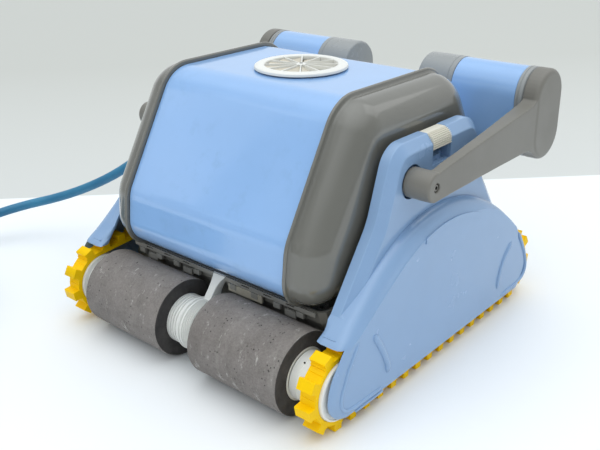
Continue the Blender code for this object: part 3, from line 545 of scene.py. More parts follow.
def pair(obj, body, mat, slot, node, other_body=None):
    """The right-hand piece and its mirror image, each for its own CAD node."""
    twin = mirrored(obj, "left_" + obj.name)
    obj.name = "right_" + obj.name
    placed(obj, body, mat, slot, "right_" + node)
    placed(twin, other_body or body, mat, slot, "left_" + node)
    return obj, twin


def rounded(corners, steps=10):
    out = []
    n = len(corners)
    for i in range(n):
        p = Vector(corners[i][:2])
        a = (Vector(corners[i - 1][:2]) - p).normalized()
        b = (Vector(corners[(i + 1) % n][:2]) - p).normalized()
        r = corners[i][2]
        if r <= 0:
            out.append(tuple(p))
            continue
        half = a.angle(b) / 2
        centre = p + (a + b).normalized() * (r / math.sin(half))
        start = p + a * (r / math.tan(half)) - centre
        turn = math.pi - 2 * half
        side = 1 if a.x * b.y - a.y * b.x < 0 else -1
        for k in range(steps + 1):
            t = side * turn * k / steps
            c, s = math.cos(t), math.sin(t)
            out.append(tuple(centre + Vector((start.x * c - start.y * s, start.x * s + start.y * c))))
    return out


def shrunk(corners, d):
    n = len(corners)
    lines = []
    for i in range(n):
        p, q = Vector(corners[i][:2]), Vector(corners[(i + 1) % n][:2])
        t = (q - p).normalized()
        lines.append((p + Vector((t.y, -t.x)) * d, t))
    out = []
    for i in range(n):
        (p, s), (q, t) = lines[i - 1], lines[i]
        k = ((q - p).x * t.y - (q - p).y * t.x) / (s.x * t.y - s.y * t.x)
        point = p + s * k
        out.append((point.x, point.y, max(corners[i][2] - d, 0.004) if corners[i][2] else 0))
    return out


def both_ways(front):
    return front + [(-y, z, r) for y, z, r in reversed(front)]


BODY = both_ways([(-0.184, 0.108, 0.035), (-0.1755, 0.182, 0.050), (-0.0944, BODY_TOP, 0.048)])
TOWER = both_ways([(-0.186, 0.090, 0.0), (-0.1075, 0.200, 0.080), (-0.0805, 0.2775, 0.030)])


def at_x(x, outline):
    return [(x, y, z) for y, z in outline]


# ---------------------------------------------------------------- body
def body_shell():
    outer, inner = rounded(shrunk(BODY, 0.0016), 16), rounded(shrunk(BODY, 0.0046), 16)
    shell = prism("body_cover", [outer + inner[::-1]], -0.1262, 0.1262)
    shell = solve(shell, cuts=[rod("hole", 0.0504, 0.30, 0.34, (0, 0, 0), "Z", 72)])
    return softened(shell, 0.0005, 2, 50)


def end_cap():
    rows = [(0.1665, 0.0400), (0.1640, 0.0310), (0.1560, 0.0170), (0.1440, 0.0075), (0.1310, 0.0040)]
    rows += [(0.1272, 0.0036), (0.1268, 0.0030), (0.1268, -0.0016)]
    for k in range(9):  # the rolled bead
        t = math.pi * (0.95 - 1.05 * k / 8)
        rows.append((0.1292 + 0.0024 * math.cos(t), -0.0014 - 0.0024 * math.sin(t)))
    rows += [(0.1319, -0.0002), (0.1323, 0.0012), (0.1332, 0.0017)]
    for k in range(20):
        t = math.radians(10 + 80 * k / 19)
        rows.append((0.1290 + 0.0415 * math.sin(t), 0.0350 * (1 - math.cos(t)) + 0.0010 * max(0, 1 - k / 3)))
    return loft("end_cover", [at_x(x, rounded(shrunk(BODY, d), 14)) for x, d in rows], 50)


placed(body_shell(), "chassis", BLUE, "blue_abs", "body_shell")
pair(end_cap(), "chassis", GREY, "grey_abs", "end_cap")

# A dark ring of painted shade fills the groove between the blue cover and each grey end.
groove_shade = prism("groove_shade", [rounded(shrunk(BODY, 0.0022), 14), rounded(shrunk(BODY, 0.0044), 14)], 0.12622, 0.12678)
groove_shade_twin = mirrored(groove_shade, "left_groove_shade")
groove_shade.name = "right_groove_shade"
placed(groove_shade, "chassis", GROOVE_SHADE, "dark_plastic")
placed(groove_shade_twin, "chassis", GROOVE_SHADE, "dark_plastic")


def grille():
    """A raised ring, twelve thin radial ribs and a small hub with a screw; sloping blades lie below, between the ribs."""
    ring = turned(
        "ring",
        [(0.0440, 0.3232), (0.0447, 0.3241), (0.0462, 0.3245), (0.0515, 0.3245), (0.0540, 0.3240), (0.0558, 0.3230), (0.0565, 0.3214), (0.0565, 0.3203),
         (0.0500, 0.3203), (0.0500, 0.3192), (0.0440, 0.3192)],
        96, "Z", (0, 0, 0),
    )
    ribs, blades = [], []
    for k in range(12):
        turn = Matrix.Rotation(math.radians(30 * k + 9), 4, "Z")
        rib = loft("rib_%d" % k, [
            [(x, -w, low), (x, w, low), (x, w * 0.8, high), (x, -w * 0.8, high)]
            for x, w, low, high in ((0.0030, 0.0006, 0.3196, 0.3240), (0.0200, 0.0007, 0.3192, 0.3238), (0.0446, 0.0011, 0.3192, 0.3238))
        ])
        rib.data.transform(turn)
        ribs.append(rib)
        rows = []
        for x in (0.0060, 0.0160, 0.0260, 0.0360, 0.0438):
            arc = 2 * math.pi * x / 12
            a, b = (0.02 * arc + 0.0008), 0.90 * arc
            rows.append([(x, a, 0.3217), (x, b, 0.3200 - 0.06 * arc), (x, b, 0.3194 - 0.06 * arc), (x, a, 0.3211)])
        blade = loft("blade_%d" % k, [[(x, y, z) for x, y, z in row] for row in rows])
        for v in blade.data.vertices:  # the blade's rows follow circles about the centre
            r, a = v.co.x, v.co.y / max(v.co.x, 1e-6)
            v.co.x, v.co.y = r * math.cos(a), r * math.sin(a)
        blade.data.transform(turn)
        blades.append(blade)
    hub = turned("hub", [(0, 0.3240), (0.0020, 0.3240), (0.0024, 0.3244), (0.0046, 0.3243), (0.0058, 0.3236), (0.0060, 0.3192), (0, 0.3192)], 32, "Z", (0, 0, 0))
    screw = turned("outlet_screw", [(0, 0.3239), (0.0008, 0.3239), (0.0010, 0.32435), (0.0019, 0.3244), (0.0020, 0.3240), (0, 0.3238)][::-1], 20, "Z", (0, 0, 0.0001))
    return merged("outlet_cover", [ring, hub] + ribs), merged("outlet_blades", blades), screw


cover, blades, screw = grille()
placed(cover, "chassis", WHITE, "white_plastic", "outlet_grille")
# The blades carry the darker beige of painted shade.
placed(blades, "chassis", LOUVER_SHADE, "beige_plastic")
placed(screw, "chassis", DARK, "dark_plastic")


# ---------------------------------------------------------------- rollers, wheels and tracks
def roller_pieces():
    for end, place in ((-1, "front"), (1, "rear")):
        y = end * AXLE_Y
        for side, word in ((1, "right"), (-1, "left")):
            body = "%s_%s_roller" % (place, word)
            rows = [(0.0303, FOAM_IN), (0.0400, FOAM_IN), (FOAM_R - 0.0012, FOAM_IN), (FOAM_R - 0.0004, FOAM_IN + 0.0005), (FOAM_R, FOAM_IN + 0.0016)]
            rows += [(FOAM_R, FOAM_IN + (FOAM_OUT - FOAM_IN) * k / 30) for k in range(1, 30)]
            rows += [(FOAM_R, FOAM_OUT - 0.0016), (FOAM_R - 0.0004, FOAM_OUT - 0.0005), (FOAM_R - 0.0012, FOAM_OUT), (0.0400, FOAM_OUT), (0.0303, FOAM_OUT)]
            foam = turned(body + "_sponge", [(r, side * h) for r, h in rows], 96, "X", (0, y, AXLE_Z))
            for v in foam.data.vertices:  # a slightly uneven skin, never outside the roller's own round
                d = Vector((0, v.co.y - y, v.co.z - AXLE_Z))
                if d.length > 0.045:
                    depth = 0.00045 * (0.5 + 0.5 * noise.noise(v.co * 55)) + 0.0002 * (0.5 + 0.5 * noise.noise(v.co * 210))
                    v.co -= d.normalized() * depth
            placed(foam, body, FOAM, "dark_foam", "%s_%s_foam_roll" % (place, word))
            # The flat end faces get the near-black painted shade.
            foam.data.materials.append(FOAM_END_SHADE)
            for p in foam.data.polygons:
                centre = p.center - Vector((0, y, AXLE_Z))
                p.material_index = 1 if abs(p.normal.x) > 0.75 and math.hypot(centre.y, centre.z) < FOAM_R - 0.0006 else 0
            start = 0.0130 if side > 0 else 0.0085
            rows = [(0.0085, start), (0.0285, start), (0.0296, start + 0.0008), (0.0300, start + 0.002)]
            x = start + 0.0035
            while x < 0.0250:  # fine ribs round the tube beside the housing
                rows += [(0.0300, x), (0.0284, x + 0.0002), (0.0284, x + 0.0014), (0.0300, x + 0.0016)]
                x += 0.0042
            rows += [(0.0300, 0.1592), (0.0265, 0.1592), (0.0265, start + 0.004), (0.0085, start + 0.004)]
            tube = turned(body + "_tube", [(r, side * h) for r, h in rows], 72, "X", (0, y, AXLE_Z))
            placed(tube, body, WHITE, "white_plastic", "%s_%s_brush_tube" % (place, word))
            belt = BELT_R - BELT_HALF - 0.0006
            rows = [
                (0.0084, 0.1600), (0.0262, 0.1600), (0.0272, 0.1605), (0.0275, 0.1614), (0.0275, 0.1700), (0.0270, 0.1704), (0.0270, 0.1712), (0.0275, 0.1716),
                (0.0275, 0.1836), (belt - 0.001, 0.1838), (belt, 0.1848), (belt, 0.2076), (belt - 0.0005, 0.2086), (belt - 0.0015, 0.2092),
                (belt - 0.0026, 0.2092), (belt - 0.0028, 0.2084), (0.0084, 0.2084),
            ]
            wheel = turned(body + "_wheel", [(r, side * h) for r, h in rows], 80, "X", (0, y, AXLE_Z))
            placed(wheel, body, WHITE, "white_plastic", "%s_%s_track_wheel" % (place, word))
            pin = turned(body + "_pin", [(0, 0.0265), (0.0011, 0.0265), (0.0011, 0.0277), (0, 0.0277)], 12, "Z", (0, 0, 0))
            pin.data.transform(Matrix.Translation((side * 0.1700, y, AXLE_Z)) @ Matrix.Rotation(math.radians(28), 4, "X"))
            placed(pin, body, DARK, "dark_plastic")


roller_pieces()


def housing(place, end):
    """The ribbed bearing housing at the middle of a roller, and the flared arm that carries it."""
    y = end * AXLE_Y
    low, high = -0.0080, 0.0125
    rows = [(0.0125, low), (0.0300, low), (0.0318, low + 0.0003), (0.0324, low + 0.0008), (0.0324, low + 0.0018), (0.0318, low + 0.0023), (0.0290, low + 0.0026)]
    x = low + 0.0042
    for k in range(5):
        wide = 0.0032 if k == 0 else 0.0015
        rows += [(0.0290, x), (0.0313, x + 0.0002), (0.0318, x + 0.0006), (0.0318, x + wide - 0.0004), (0.0290, x + wide)]
        x += wide + 0.0015
    rows += [(0.0290, high - 0.0006), (0.0284, high), (0.0125, high)]
    ring = turned("ring", rows, 80, "X", (0, y, AXLE_Z))
    root = Vector((end * 0.1520, 0.1035))
    middle = Vector((y, AXLE_Z))
    tip = middle + (root - middle).normalized() * 0.0270
    along = (root - tip).normalized()
    wide = Vector((-along.y, along.x)) * 0.0044
    rows = []
    for k in range(13):
        t = k / 12
        flare = max(0.0, (t - 0.45) / 0.55) ** 2
        c, w = tip.lerp(root, t), wide * (2.0 - 1.2 * t)
        a, b = -0.0034 - 0.0030 * flare, 0.0074 + 0.0075 * flare
        rows.append([(a, *(c - w)), (b, *(c - w)), (b, *(c + w)), (a, *(c + w))])
    arm = softened(loft("arm", rows), 0.0009, 3, 40)
    out = merged(place + "_housing", [softened(ring, 0.0002, 1, 40), arm])
    return placed(out, "chassis", WHITE, "white_plastic", place + "_roller_support")


housing("front", -1)
housing("rear", 1)


def belt_path(radius):
    centres = [Vector((-AXLE_Y, AXLE_Z)), Vector((0, DRIVE_Z)), Vector((AXLE_Y, AXLE_Z))]
    rise = math.atan2(DRIVE_Z - AXLE_Z, AXLE_Y)
    quarter = math.pi / 2
    arcs = [
        (centres[0], 2 * math.pi - quarter, quarter + rise),
        (centres[1], quarter + rise, quarter - rise),
        (centres[2], quarter - rise, -quarter),
    ]
    pieces = []
    for i, (c, a, b) in enumerate(arcs):
        pieces.append(("arc", c, a, b, abs(a - b) * radius))
        n, a2, _ = arcs[(i + 1) % 3]
        p = c + Vector((math.cos(b), math.sin(b))) * radius
        q = n + Vector((math.cos(a2), math.sin(a2))) * radius
        pieces.append(("run", p, q, b, (q - p).length))
    total = sum(p[4] for p in pieces)

    def at(s):
        s %= total
        for kind, a, b, c, length in pieces:
            if s <= length:
                if kind == "arc":
                    t = b + (c - b) * s / length
                    out = Vector((math.cos(t), math.sin(t)))
                    return a + out * radius, out
                return a + (b - a) * (s / length), Vector((math.cos(c), math.sin(c)))
            s -= length
        return at(0)

    return total, at


def track():
    """The belt and its cleats: each cleat has a narrow step at its foot on one side."""
    total, at = belt_path(BELT_R)
    pitch = total / CLEATS
    high = TIP_R - BELT_R
    outer, inner = [], []
    shape = (
        (-0.0068, BELT_HALF), (-0.0066, BELT_HALF + 0.0022), (-0.0050, BELT_HALF + 0.0026), (-0.0048, high - 0.0004), (-0.0043, high),
        (0.0044, high), (0.0049, high - 0.0005), (0.0053, BELT_HALF + 0.0004), (0.0058, BELT_HALF),
    )
    for k in range(CLEATS):
        for offset, out in shape:
            p, n = at(k * pitch + PHASE + offset)
            outer.append(tuple(p + n * out))
        for part in (0.36, 0.48, 0.50, 0.52, 0.64):  # a fine groove between the cleats
            p, n = at((k + part) * pitch + PHASE)
            outer.append(tuple(p + n * (BELT_HALF - (0.0006 if part == 0.5 else 0))))
        for part in range(8):
            p, n = at((k + part / 8) * pitch + PHASE)
            inner.append(tuple(p - n * BELT_HALF))
    belt = prism("belt", [outer, inner], BELT_IN, BELT_OUT)
    return softened(belt, 0.0006, 2, 50)


pair(track(), "chassis", YELLOW, "yellow_rubber", "track")


# ---------------------------------------------------------------- side panels
ARCH_BASE = [(-0.1870, 0.1016)] + [(y, -0.0100 + math.sqrt(0.2050**2 - y * y)) for y in [0.0071 * k for k in range(-20, 21)]] + [(0.1870, 0.1010)]
ARCH_FACE = [
    (-0.1870, 0.1010), (-0.1675, 0.1050), (-0.1490, 0.1168), (-0.1306, 0.1296), (-0.1087, 0.1438), (-0.0823, 0.1593),
    (-0.0549, 0.1710), (-0.0344, 0.1768), (-0.0129, 0.1789), (0.0094, 0.1790), (0.0329, 0.1766), (0.0600, 0.1722),
    (0.0884, 0.1660), (0.1167, 0.1546), (0.1480, 0.1330), (0.1688, 0.1156), (0.1870, 0.1005),
]


def curved(points, count):
    """Evenly spaced points in a plane, on a smooth curve through the given ones."""
    return [Vector((p.y, p.z)) for p in smooth_route([(0, y, z) for y, z in points], count)]


BASE_LINE, FACE_LINE = curved(ARCH_BASE, 81), curved(ARCH_FACE, 81)


def arch_outline(share, inset=0.0, foot=(0.0, 0.0), shoulder=0.0):
    """The lower cover's outline: round ends about the track wheels, and an arch between its base line and its face's line."""
    end_r, low = 0.0318, 0.0012
    front = [Vector((-AXLE_Y, AXLE_Z - end_r - low))]
    for k in range(1, 13):
        t = math.radians(270 - 7.5 * k)
        front.append(Vector((-AXLE_Y + end_r * math.cos(t), AXLE_Z + (end_r + low * (1 - k / 12)) * math.sin(t))))
    front += [Vector(p) for p in ((-0.2145, 0.0600), (-0.2115, 0.0690), (-0.2065, 0.0780), (-0.1990, 0.0880), (-0.1930, 0.0952))]
    rear = [Vector((-p.x, p.y)) for p in reversed(front)]
    arch = [p.lerp(q, share) for p, q in zip(BASE_LINE, FACE_LINE)]
    for k in range(4):  # the foot's corner, pulled in towards the machine
        part = 1 - k / 4
        arch[k] += Vector(foot) * part
        arch[-1 - k] += Vector((-foot[0], foot[1])) * part
    loop = front + arch + rear
    ends = [min(1.0, 0.12 + 0.16 * k) for k in range(len(front))]
    fade = [0.85, 0.55, 0.28, 0.10]
    weights = ends + fade + [0.0] * (len(arch) - 8) + fade[::-1] + ends[::-1]
    out = []
    for i, p in enumerate(loop):
        a, b = (p - loop[i - 1]).normalized(), (loop[(i + 1) % len(loop)] - p).normalized()
        normal = (Vector((a.y, -a.x)) + Vector((b.y, -b.x))).normalized()
        out.append(tuple(p + normal * (inset + shoulder * weights[i]) / max(0.6, normal.dot(Vector((a.y, -a.x))))))
    return out


def bead(name, path, radius, flat=0.42, count=28):
    """A raised, round-topped rib along a path on the panel's face."""
    x = PANEL_FACE - 0.0002
    pts = [Vector((x, p.x, p.y)) for p in curved(path, count)]
    radii = [radius * min(1.0, 0.35 + 0.65 * min(k, count - 1 - k) / 2.0) for k in range(count)]
    obj = baked(tube_curve(name, pts, radii, 5), name)
    for v in obj.data.vertices:
        v.co.x = x + (v.co.x - x) * flat
    return obj


def band(name, outer, inner, high):
    """A raised flat band on the panel's face, between two lines that run the same way."""
    outline = [tuple(p) for p in outer] + [tuple(p) for p in reversed(inner)]
    return softened(prism(name, [outline], PANEL_FACE - 0.0012, high), 0.0011, 3, 40)


RIDGE_FRONT = [
    (-0.1647, 0.0991), (-0.1701, 0.0916), (-0.1762, 0.0822), (-0.1823, 0.0729), (-0.1869, 0.0615), (-0.1915, 0.0525), (-0.1937, 0.0421),
    (-0.1912, 0.0326), (-0.1848, 0.0266), (-0.1751, 0.0247), (-0.1586, 0.0239), (-0.1348, 0.0230), (-0.1207, 0.0228),
]
RIDGE_REAR = [
    (0.1780, 0.1010), (0.1870, 0.0870), (0.1950, 0.0740), (0.2020, 0.0610), (0.2065, 0.0480), (0.2058, 0.0370), (0.1985, 0.0295),
    (0.1857, 0.0262), (0.1640, 0.0250), (0.1419, 0.0240),
]


def side_panel():
    none = (0.0, 0.0)
    rows = [
        (PANEL_IN, 0.0, 0.0, (0.0150, 0.0042), 0.0), (0.1789, 0.0, 0.0, (0.0115, 0.0032), 0.0), (0.1796, 0.0, 0.0, (0.0088, 0.0024), 0.0),
        (0.1808, 0.0, 0.0, (0.0062, 0.0016), 0.0), (0.1825, 0.0, 0.0, (0.0036, 0.0008), 0.0), (0.1845, 0.0, 0.0, (0.0012, 0.0002), 0.0),
        (0.1865, 0.0, 0.0, none, 0.0), (0.1990, 0.0, 0.0, none, 0.0), (0.2012, 0.02, 0.0, none, 0.0), (0.2036, 0.07, 0.0, none, 0.0001),
        (0.2060, 0.16, 0.0, none, 0.0003), (0.2084, 0.30, 0.0002, none, 0.0010), (0.2105, 0.48, 0.0004, none, 0.0022), (0.2122, 0.68, 0.0007, none, 0.0042),
        (0.2133, 0.86, 0.0011, none, 0.0066), (0.2140, 0.955, 0.0014, none, 0.0088), (0.2142, 0.985, 0.0015, none, 0.0096), (0.2147, 0.992, 0.0018, none, 0.0118),
        (PANEL_FACE, 1.0, 0.0022, none, 0.0140),
    ]
    panel = loft("panel", [at_x(x, arch_outline(share, inset, foot, shoulder)) for x, share, inset, foot, shoulder in rows], 28)
    rows = [(PANEL_IN, 0.0), (0.1890, 0.0), (0.1897, 0.0002), (0.1903, 0.0007), (0.1907, 0.0013), (0.1962, 0.0085), (0.1971, 0.0095), (0.1978, 0.0103), (0.1983, 0.0113), (0.1985, 0.0125)]
    tower = loft("tower", [at_x(x, rounded(shrunk(TOWER, d), 12)) for x, d in rows])
    rows = [(0.170, 0.0), (0.1980, 0.0), (0.2035, 0.20), (0.2085, 0.56), (0.2118, 0.90)]
    arch_hollow = loft("arch_hollow", [at_x(x, arch_outline(share, 0.0040, (0.0070, 0.0))) for x, share in rows])
    rows = [(0.170, 0.0030), (0.1880, 0.0030), (0.1935, 0.0090), (0.1953, 0.0150)]
    tower_hollow = loft("tower_hollow", [at_x(x, rounded(shrunk(TOWER, d), 12)) for x, d in rows])
    below = box("track_space", (0.165, -0.26, -0.05), (0.2117, 0.26, 0.0977))
    panel = solve(panel, joins=[tower], cuts=[arch_hollow, tower_hollow, below])
    boss = rod("boss", 0.0230, 0.1790, 0.1968, (0, PIVOT_Y, PIVOT_Z), "X", 64)
    block = box("latch_block", (0.1792, -0.0215, 0.2300), (0.1950, 0.0255, 0.2700))
    hub_hole = rod("hub_hole", 0.0188, 0.1900, 0.2500, (0, PIVOT_Y, PIVOT_Z), "X", 72)
    slot = box("slot", (0.1865, -0.0165, 0.2425), (0.2500, 0.0205, 0.3000))
    slot_top = box("slot_top", (0.1700, -0.0164, 0.2485), (0.2400, 0.0204, 0.2990))
    panel = solve(panel, joins=[boss, block], cuts=[hub_hole, slot, slot_top])
    # The recessed back of the latch slot carries a short step.
    step = box("step", (0.1860, -0.0165, 0.2422), (0.1900, 0.0120, 0.2480))
    spigots = [rod("spigot_%d" % e, 0.0080, 0.1700, 0.2135, (0, e * AXLE_Y, AXLE_Z), "X", 32) for e in (-1, 1)]
    panel = solve(panel, joins=[step] + spigots)
    panel = softened(panel, 0.0005, 2, 55, 34)
    shapes = [panel]
    shapes.append(bead("ridge_front", RIDGE_FRONT, 0.0024, 0.85, 48))
    shapes.append(bead("ridge_rear", RIDGE_REAR, 0.0024, 0.85, 48))
    low = AXLE_Z - 0.0318
    shapes.append(band("foot_strip", [(-0.1700, low - 0.0004), (-0.1207, low - 0.0004)], [(-0.1700, low + 0.0026), (-0.1207, low + 0.0026)], 0.2163))
    for e in (-1, 1):
        shapes.append(rod("lip_%d" % e, 0.0007, 0.1838, 0.1996, (0, e * 0.1846, 0.1037), "X", 12))
    ys = [-0.0480 + 0.1160 * k / 40 for k in range(41)]
    shapes.append(band("rim_top", [(y, -0.0060 + math.sqrt(0.1848**2 - y * y)) for y in ys], [(y, -0.0060 + math.sqrt(0.1786**2 - y * y)) for y in ys], 0.2162))
    shapes.append(bead("rib_front", [(-0.1392, 0.0950), (-0.1284, 0.0783), (-0.1190, 0.0607), (-0.1129, 0.0457), (-0.1134, 0.0374)], 0.0043, 0.75))
    shapes.append(bead("rib_rear", [(0.1591, 0.0951), (0.1508, 0.0876), (0.1390, 0.0739), (0.1322, 0.0583), (0.1292, 0.0395)], 0.0034, 0.8))
    out = merged("side_cover", shapes)
    weighted = out.modifiers.new("normals", "WEIGHTED_NORMAL")
    weighted.keep_sharp = True
    return out


pair(side_panel(), "chassis", PANEL_BLUE, "blue_abs", "side_panel")


def latch():
    """The slider, with fine ribs across its curved outer side."""
    curve = [Vector((0.1870 + 0.0122 * math.sin(math.radians(90 * k / 72)), 0.2660 + 0.0113 * math.cos(math.radians(90 * k / 72)))) for k in range(73)]
    curve += [Vector((0.1992, 0.2660 - 0.0057 * k / 24)) for k in range(1, 25)]
    profile, walked = [(0.1790, 0.2597), (0.1790, 0.2766), (0.1794, 0.2772), (0.1860, 0.2774)], 0.0
    for k, p in enumerate(curve):
        a, b = curve[max(0, k - 1)], curve[min(len(curve) - 1, k + 1)]
        along = (b - a).normalized()
        out = Vector((-along.y, along.x))
        if k:
            walked += (p - a).length
        phase = ((walked - 0.0030) / 0.0024) % 1
        depth = 0.0014 * min(1.0, max(0.0, (abs(phase - 0.5) - 0.22) / 0.12)) if walked > 0.0030 else 0.0
        profile.append(tuple(p - out * depth))
    profile += [(0.1986, 0.2597)]
    return softened(prism("latch", [profile], -0.0161, 0.0201, "Y"), 0.0003, 2, 60, 30)


pair(latch(), "right_latch", BEIGE, "beige_plastic", "latch_slider", "left_latch")


# ---------------------------------------------------------------- handle
def stadium(inset=0.0, steps=20, half=FLOAT_HALF):
    r = half - inset
    out = []
    for centre, start in ((FLOAT_TOP - FLOAT_HALF, 0.0), (FLOAT_LOW + FLOAT_HALF, math.pi)):
        for k in range(steps + 1):
            t = start + math.pi * k / steps
            out.append((FLOAT_Y + r * math.cos(t), centre + r * math.sin(t)))
    return out


def handle_arm():
    plate_rows = [(0.2098, 0.0006), (0.2102, 0.0), (0.2240, 0.0)]
    for k in range(1, 8):
        t = math.radians(90 * k / 7)
        plate_rows.append((0.2240 + 0.0062 * math.sin(t), 0.0062 * (1 - math.cos(t))))
    plate = loft("plate", [at_x(x, stadium(d)) for x, d in plate_rows])
    rows = []
    for y, low, high, inner in (
        (-0.0550, 0.2200, 0.2502, 0.2172), (-0.0300, 0.2205, 0.2542, 0.2168), (0.0000, 0.2210, 0.2580, 0.2164), (0.0300, 0.2215, 0.2618, 0.2156),
        (0.0600, 0.2218, 0.2655, 0.2146), (0.0900, 0.2220, 0.2692, 0.2130), (0.1200, 0.2220, 0.2728, 0.2112), (0.1400, 0.2220, 0.2752, 0.2100),
        (0.1530, 0.2205, 0.2775, 0.2100), (0.1620, 0.2165, 0.2815, 0.2100), (0.1700, 0.2110, 0.2880, 0.2106), (0.1800, 0.2060, 0.2960, 0.2115),
    ):
        row = []
        for u0, v0, u1, v1 in ((inner, low, 0.2292, low), (0.2292, low, 0.2292, high), (0.2292, high, inner, high), (inner, high, inner, low)):
            for k in range(4):
                row.append((u0 + (u1 - u0) * k / 4, y, v0 + (v1 - v0) * k / 4))
        rows.append(row)
    beam = loft("beam", rows)
    hub = turned("hub", [(0, 0.2292), (0.0150, 0.2292), (0.0162, 0.2280), (0.0165, 0.2200), (0.0165, 0.1976), (0, 0.1976)], 64, "X", (0, PIVOT_Y, PIVOT_Z))
    arm = solve(plate, joins=[beam, hub])
    mod = arm.modifiers.new("blend", "REMESH")
    mod.mode = "VOXEL"
    mod.voxel_size = 0.0009
    mod = arm.modifiers.new("relax", "SMOOTH")
    mod.factor = 0.5
    mod.iterations = 4
    arm = baked(arm, "arm", 60)
    bore = rod("bore", 0.0034, 0.1900, 0.2400, (0, PIVOT_Y, PIVOT_Z), "X", 32)
    sink = turned("sink", [(0, 0.2450), (0.0064, 0.2450), (0.0058, 0.2291), (0.0053, 0.2284), (0.0052, 0.2256), (0, 0.2256)], 40, "X", (0, PIVOT_Y, PIVOT_Z))
    return solve(arm, cuts=[bore, sink])


pair(handle_arm(), "handle", ARM_GREY, "arm_grey", "handle_arm")

HEX = [(0.0023 * math.cos(math.radians(60 * k)), 0.0023 * math.sin(math.radians(60 * k))) for k in range(6)]


def pivot_screw():
    rows = [(0, 0.2281), (0.0031, 0.2281), (0.0038, 0.2278), (0.0041, 0.2272), (0.0041, 0.2259), (0.0030, 0.2259), (0.0030, 0.1830), (0, 0.1830)]
    body = turned("screw", rows, 40, "X", (0, PIVOT_Y, PIVOT_Z))
    socket = prism("socket", [[(PIVOT_Y + u, PIVOT_Z + v) for u, v in HEX]], 0.2244, 0.2300)
    return softened(solve(body, cuts=[socket]), 0.0002, 2, 40)


pair(pivot_screw(), "chassis", STEEL, "steel", "pivot_screw")

rows = [(0.1963, 0.0036), (0.1108, 0.0036), (0.1108, 0.0010), (0.1112, 0.0006), (0.1400, 0.0006), (0.1700, 0.0006), (0.1989, 0.0006), (0.1993, 0.0010)]
pair(loft("float_shell", [at_x(x, stadium(d)) for x, d in rows]), "handle", BLUE, "blue_abs", "float")
rows = [(0.0613, 0.0060), (0.0640, 0.0030), (0.1105, 0.0030), (0.1105, 0.0004), (0.1101, 0.0), (0.1045, 0.0), (0.1041, 0.0005), (0.1035, 0.0005), (0.1031, 0.0)]
rows += [(0.0583 + 0.0040 * (1 - math.cos(math.radians(90 * k / 6))), 0.0040 * (1 - math.sin(math.radians(90 * k / 6)))) for k in range(6, -1, -1)]
pair(loft("float_end", [at_x(x, stadium(d)) for x, d in rows]), "handle", FLOAT_GREY, "grey_abs", "float_cap")
rows = [(0.1996, 0.0006), (0.2001, 0.0), (0.2030, 0.0), (0.2034, 0.0006), (0.2040, 0.0006), (0.2044, 0.0), (0.2072, 0.0), (0.2080, 0.0004), (0.2086, 0.0012), (0.2095, 0.0026)]
pair(loft("float_ring", [at_x(x, stadium(d)) for x, d in rows]), "handle", FLOAT_GREY, "grey_abs", "float_collar")
rows = [(0, 0.0580), (0.0112, 0.0580), (0.0115, 0.0577)]
for k in range(9):
    x = 0.034 - 0.0085 * k
    rows += [(0.0115, x + 0.0020), (0.0106, x + 0.0012), (0.0106, x - 0.0012), (0.0115, x - 0.0020)]
rows += [(0.0115, -0.0577), (0.0112, -0.0580), (0, -0.0580)]
placed(turned("grip", rows, 48, "X", (0, FLOAT_Y, 0.2520)), "handle", ARM_GREY, "arm_grey", "handle_grip_bar")


# ---------------------------------------------------------------- chassis details
def base_details(place, end):
    """The row of clips and slots along the tub's edge, under the cover."""
    parts = []
    rail = box("rail", (-0.1500, 0.1537, 0.0990), (0.1500, 0.1560, 0.1046))
    cuts = [box("gap_%d" % k, (x, 0.150, 0.1012), (x + 0.012, 0.160, 0.1030)) for k, x in enumerate((-0.128, -0.094, -0.060, 0.040, 0.074, 0.108))]
    parts.append(solve(rail, cuts=cuts))
    for x in (-0.140, -0.108, -0.076, -0.040, 0.022, 0.056, 0.090, 0.124):
        parts.append(box("tab_%d" % int(x * 1000), (x, 0.1530, 0.0925), (x + 0.010, 0.1572, 0.0988)))
    for x in (-0.124, -0.060, 0.040, 0.106):
        parts.append(box("clip_%d" % int(x * 1000), (x, 0.1528, 0.0880), (x + 0.016, 0.1560, 0.0955)))
    out = softened(merged("clips_" + place, parts), 0.0004, 2, 40)
    out.data.transform(Matrix.Scale(end, 4, Vector((0, 1, 0))))
    if end < 0:
        out.data.flip_normals()
    return placed(out, "chassis", TRAY, "tray_grey")


base_details("front", -1)
base_details("rear", 1)
# A dim beige plate lies along the tub's edge under the cover at each end.
for place, end in (("front", -1), ("rear", 1)):
    low, high = sorted((end * 0.1532, end * 0.1566))
    plate = softened(box("dim_beige_plate_" + place, (0.0190, low, 0.0890), (0.0720, high, 0.0985)), 0.0008, 2, 40)
    placed(plate, "chassis", DIM_BEIGE, "tray_grey")


def strain_relief():
    route = smooth_route(ROUTE, 600)
    walked = [0.0]
    for a, b in zip(route, route[1:]):
        walked.append(walked[-1] + (b - a).length)
    split = next(i for i, s in enumerate(walked) if s >= 0.046)
    pts, radii = [], []
    for k in range(0, split + 1):
        t = k / split
        pts.append(route[k])
        groove = 0.0011 if 0.18 < t < 0.92 and (t * 13) % 1 > 0.58 else 0.0
        radii.append(0.0098 - 0.0019 * t - groove)
    return tube_curve("cable_boot", pts, radii, 6)


placed(strain_relief(), "chassis", DARK, "dark_plastic", "strain_relief")
rows = [(0, -0.2067), (0.0090, -0.2067), (0.0098, -0.2062), (0.0105, -0.2050), (0.0105, -0.1993), (0, -0.1993)]
placed(turned("cable_nut", rows, 12, "X", (0, EXIT[1], EXIT[2])), "chassis", DARK, "dark_plastic", "cable_gland")

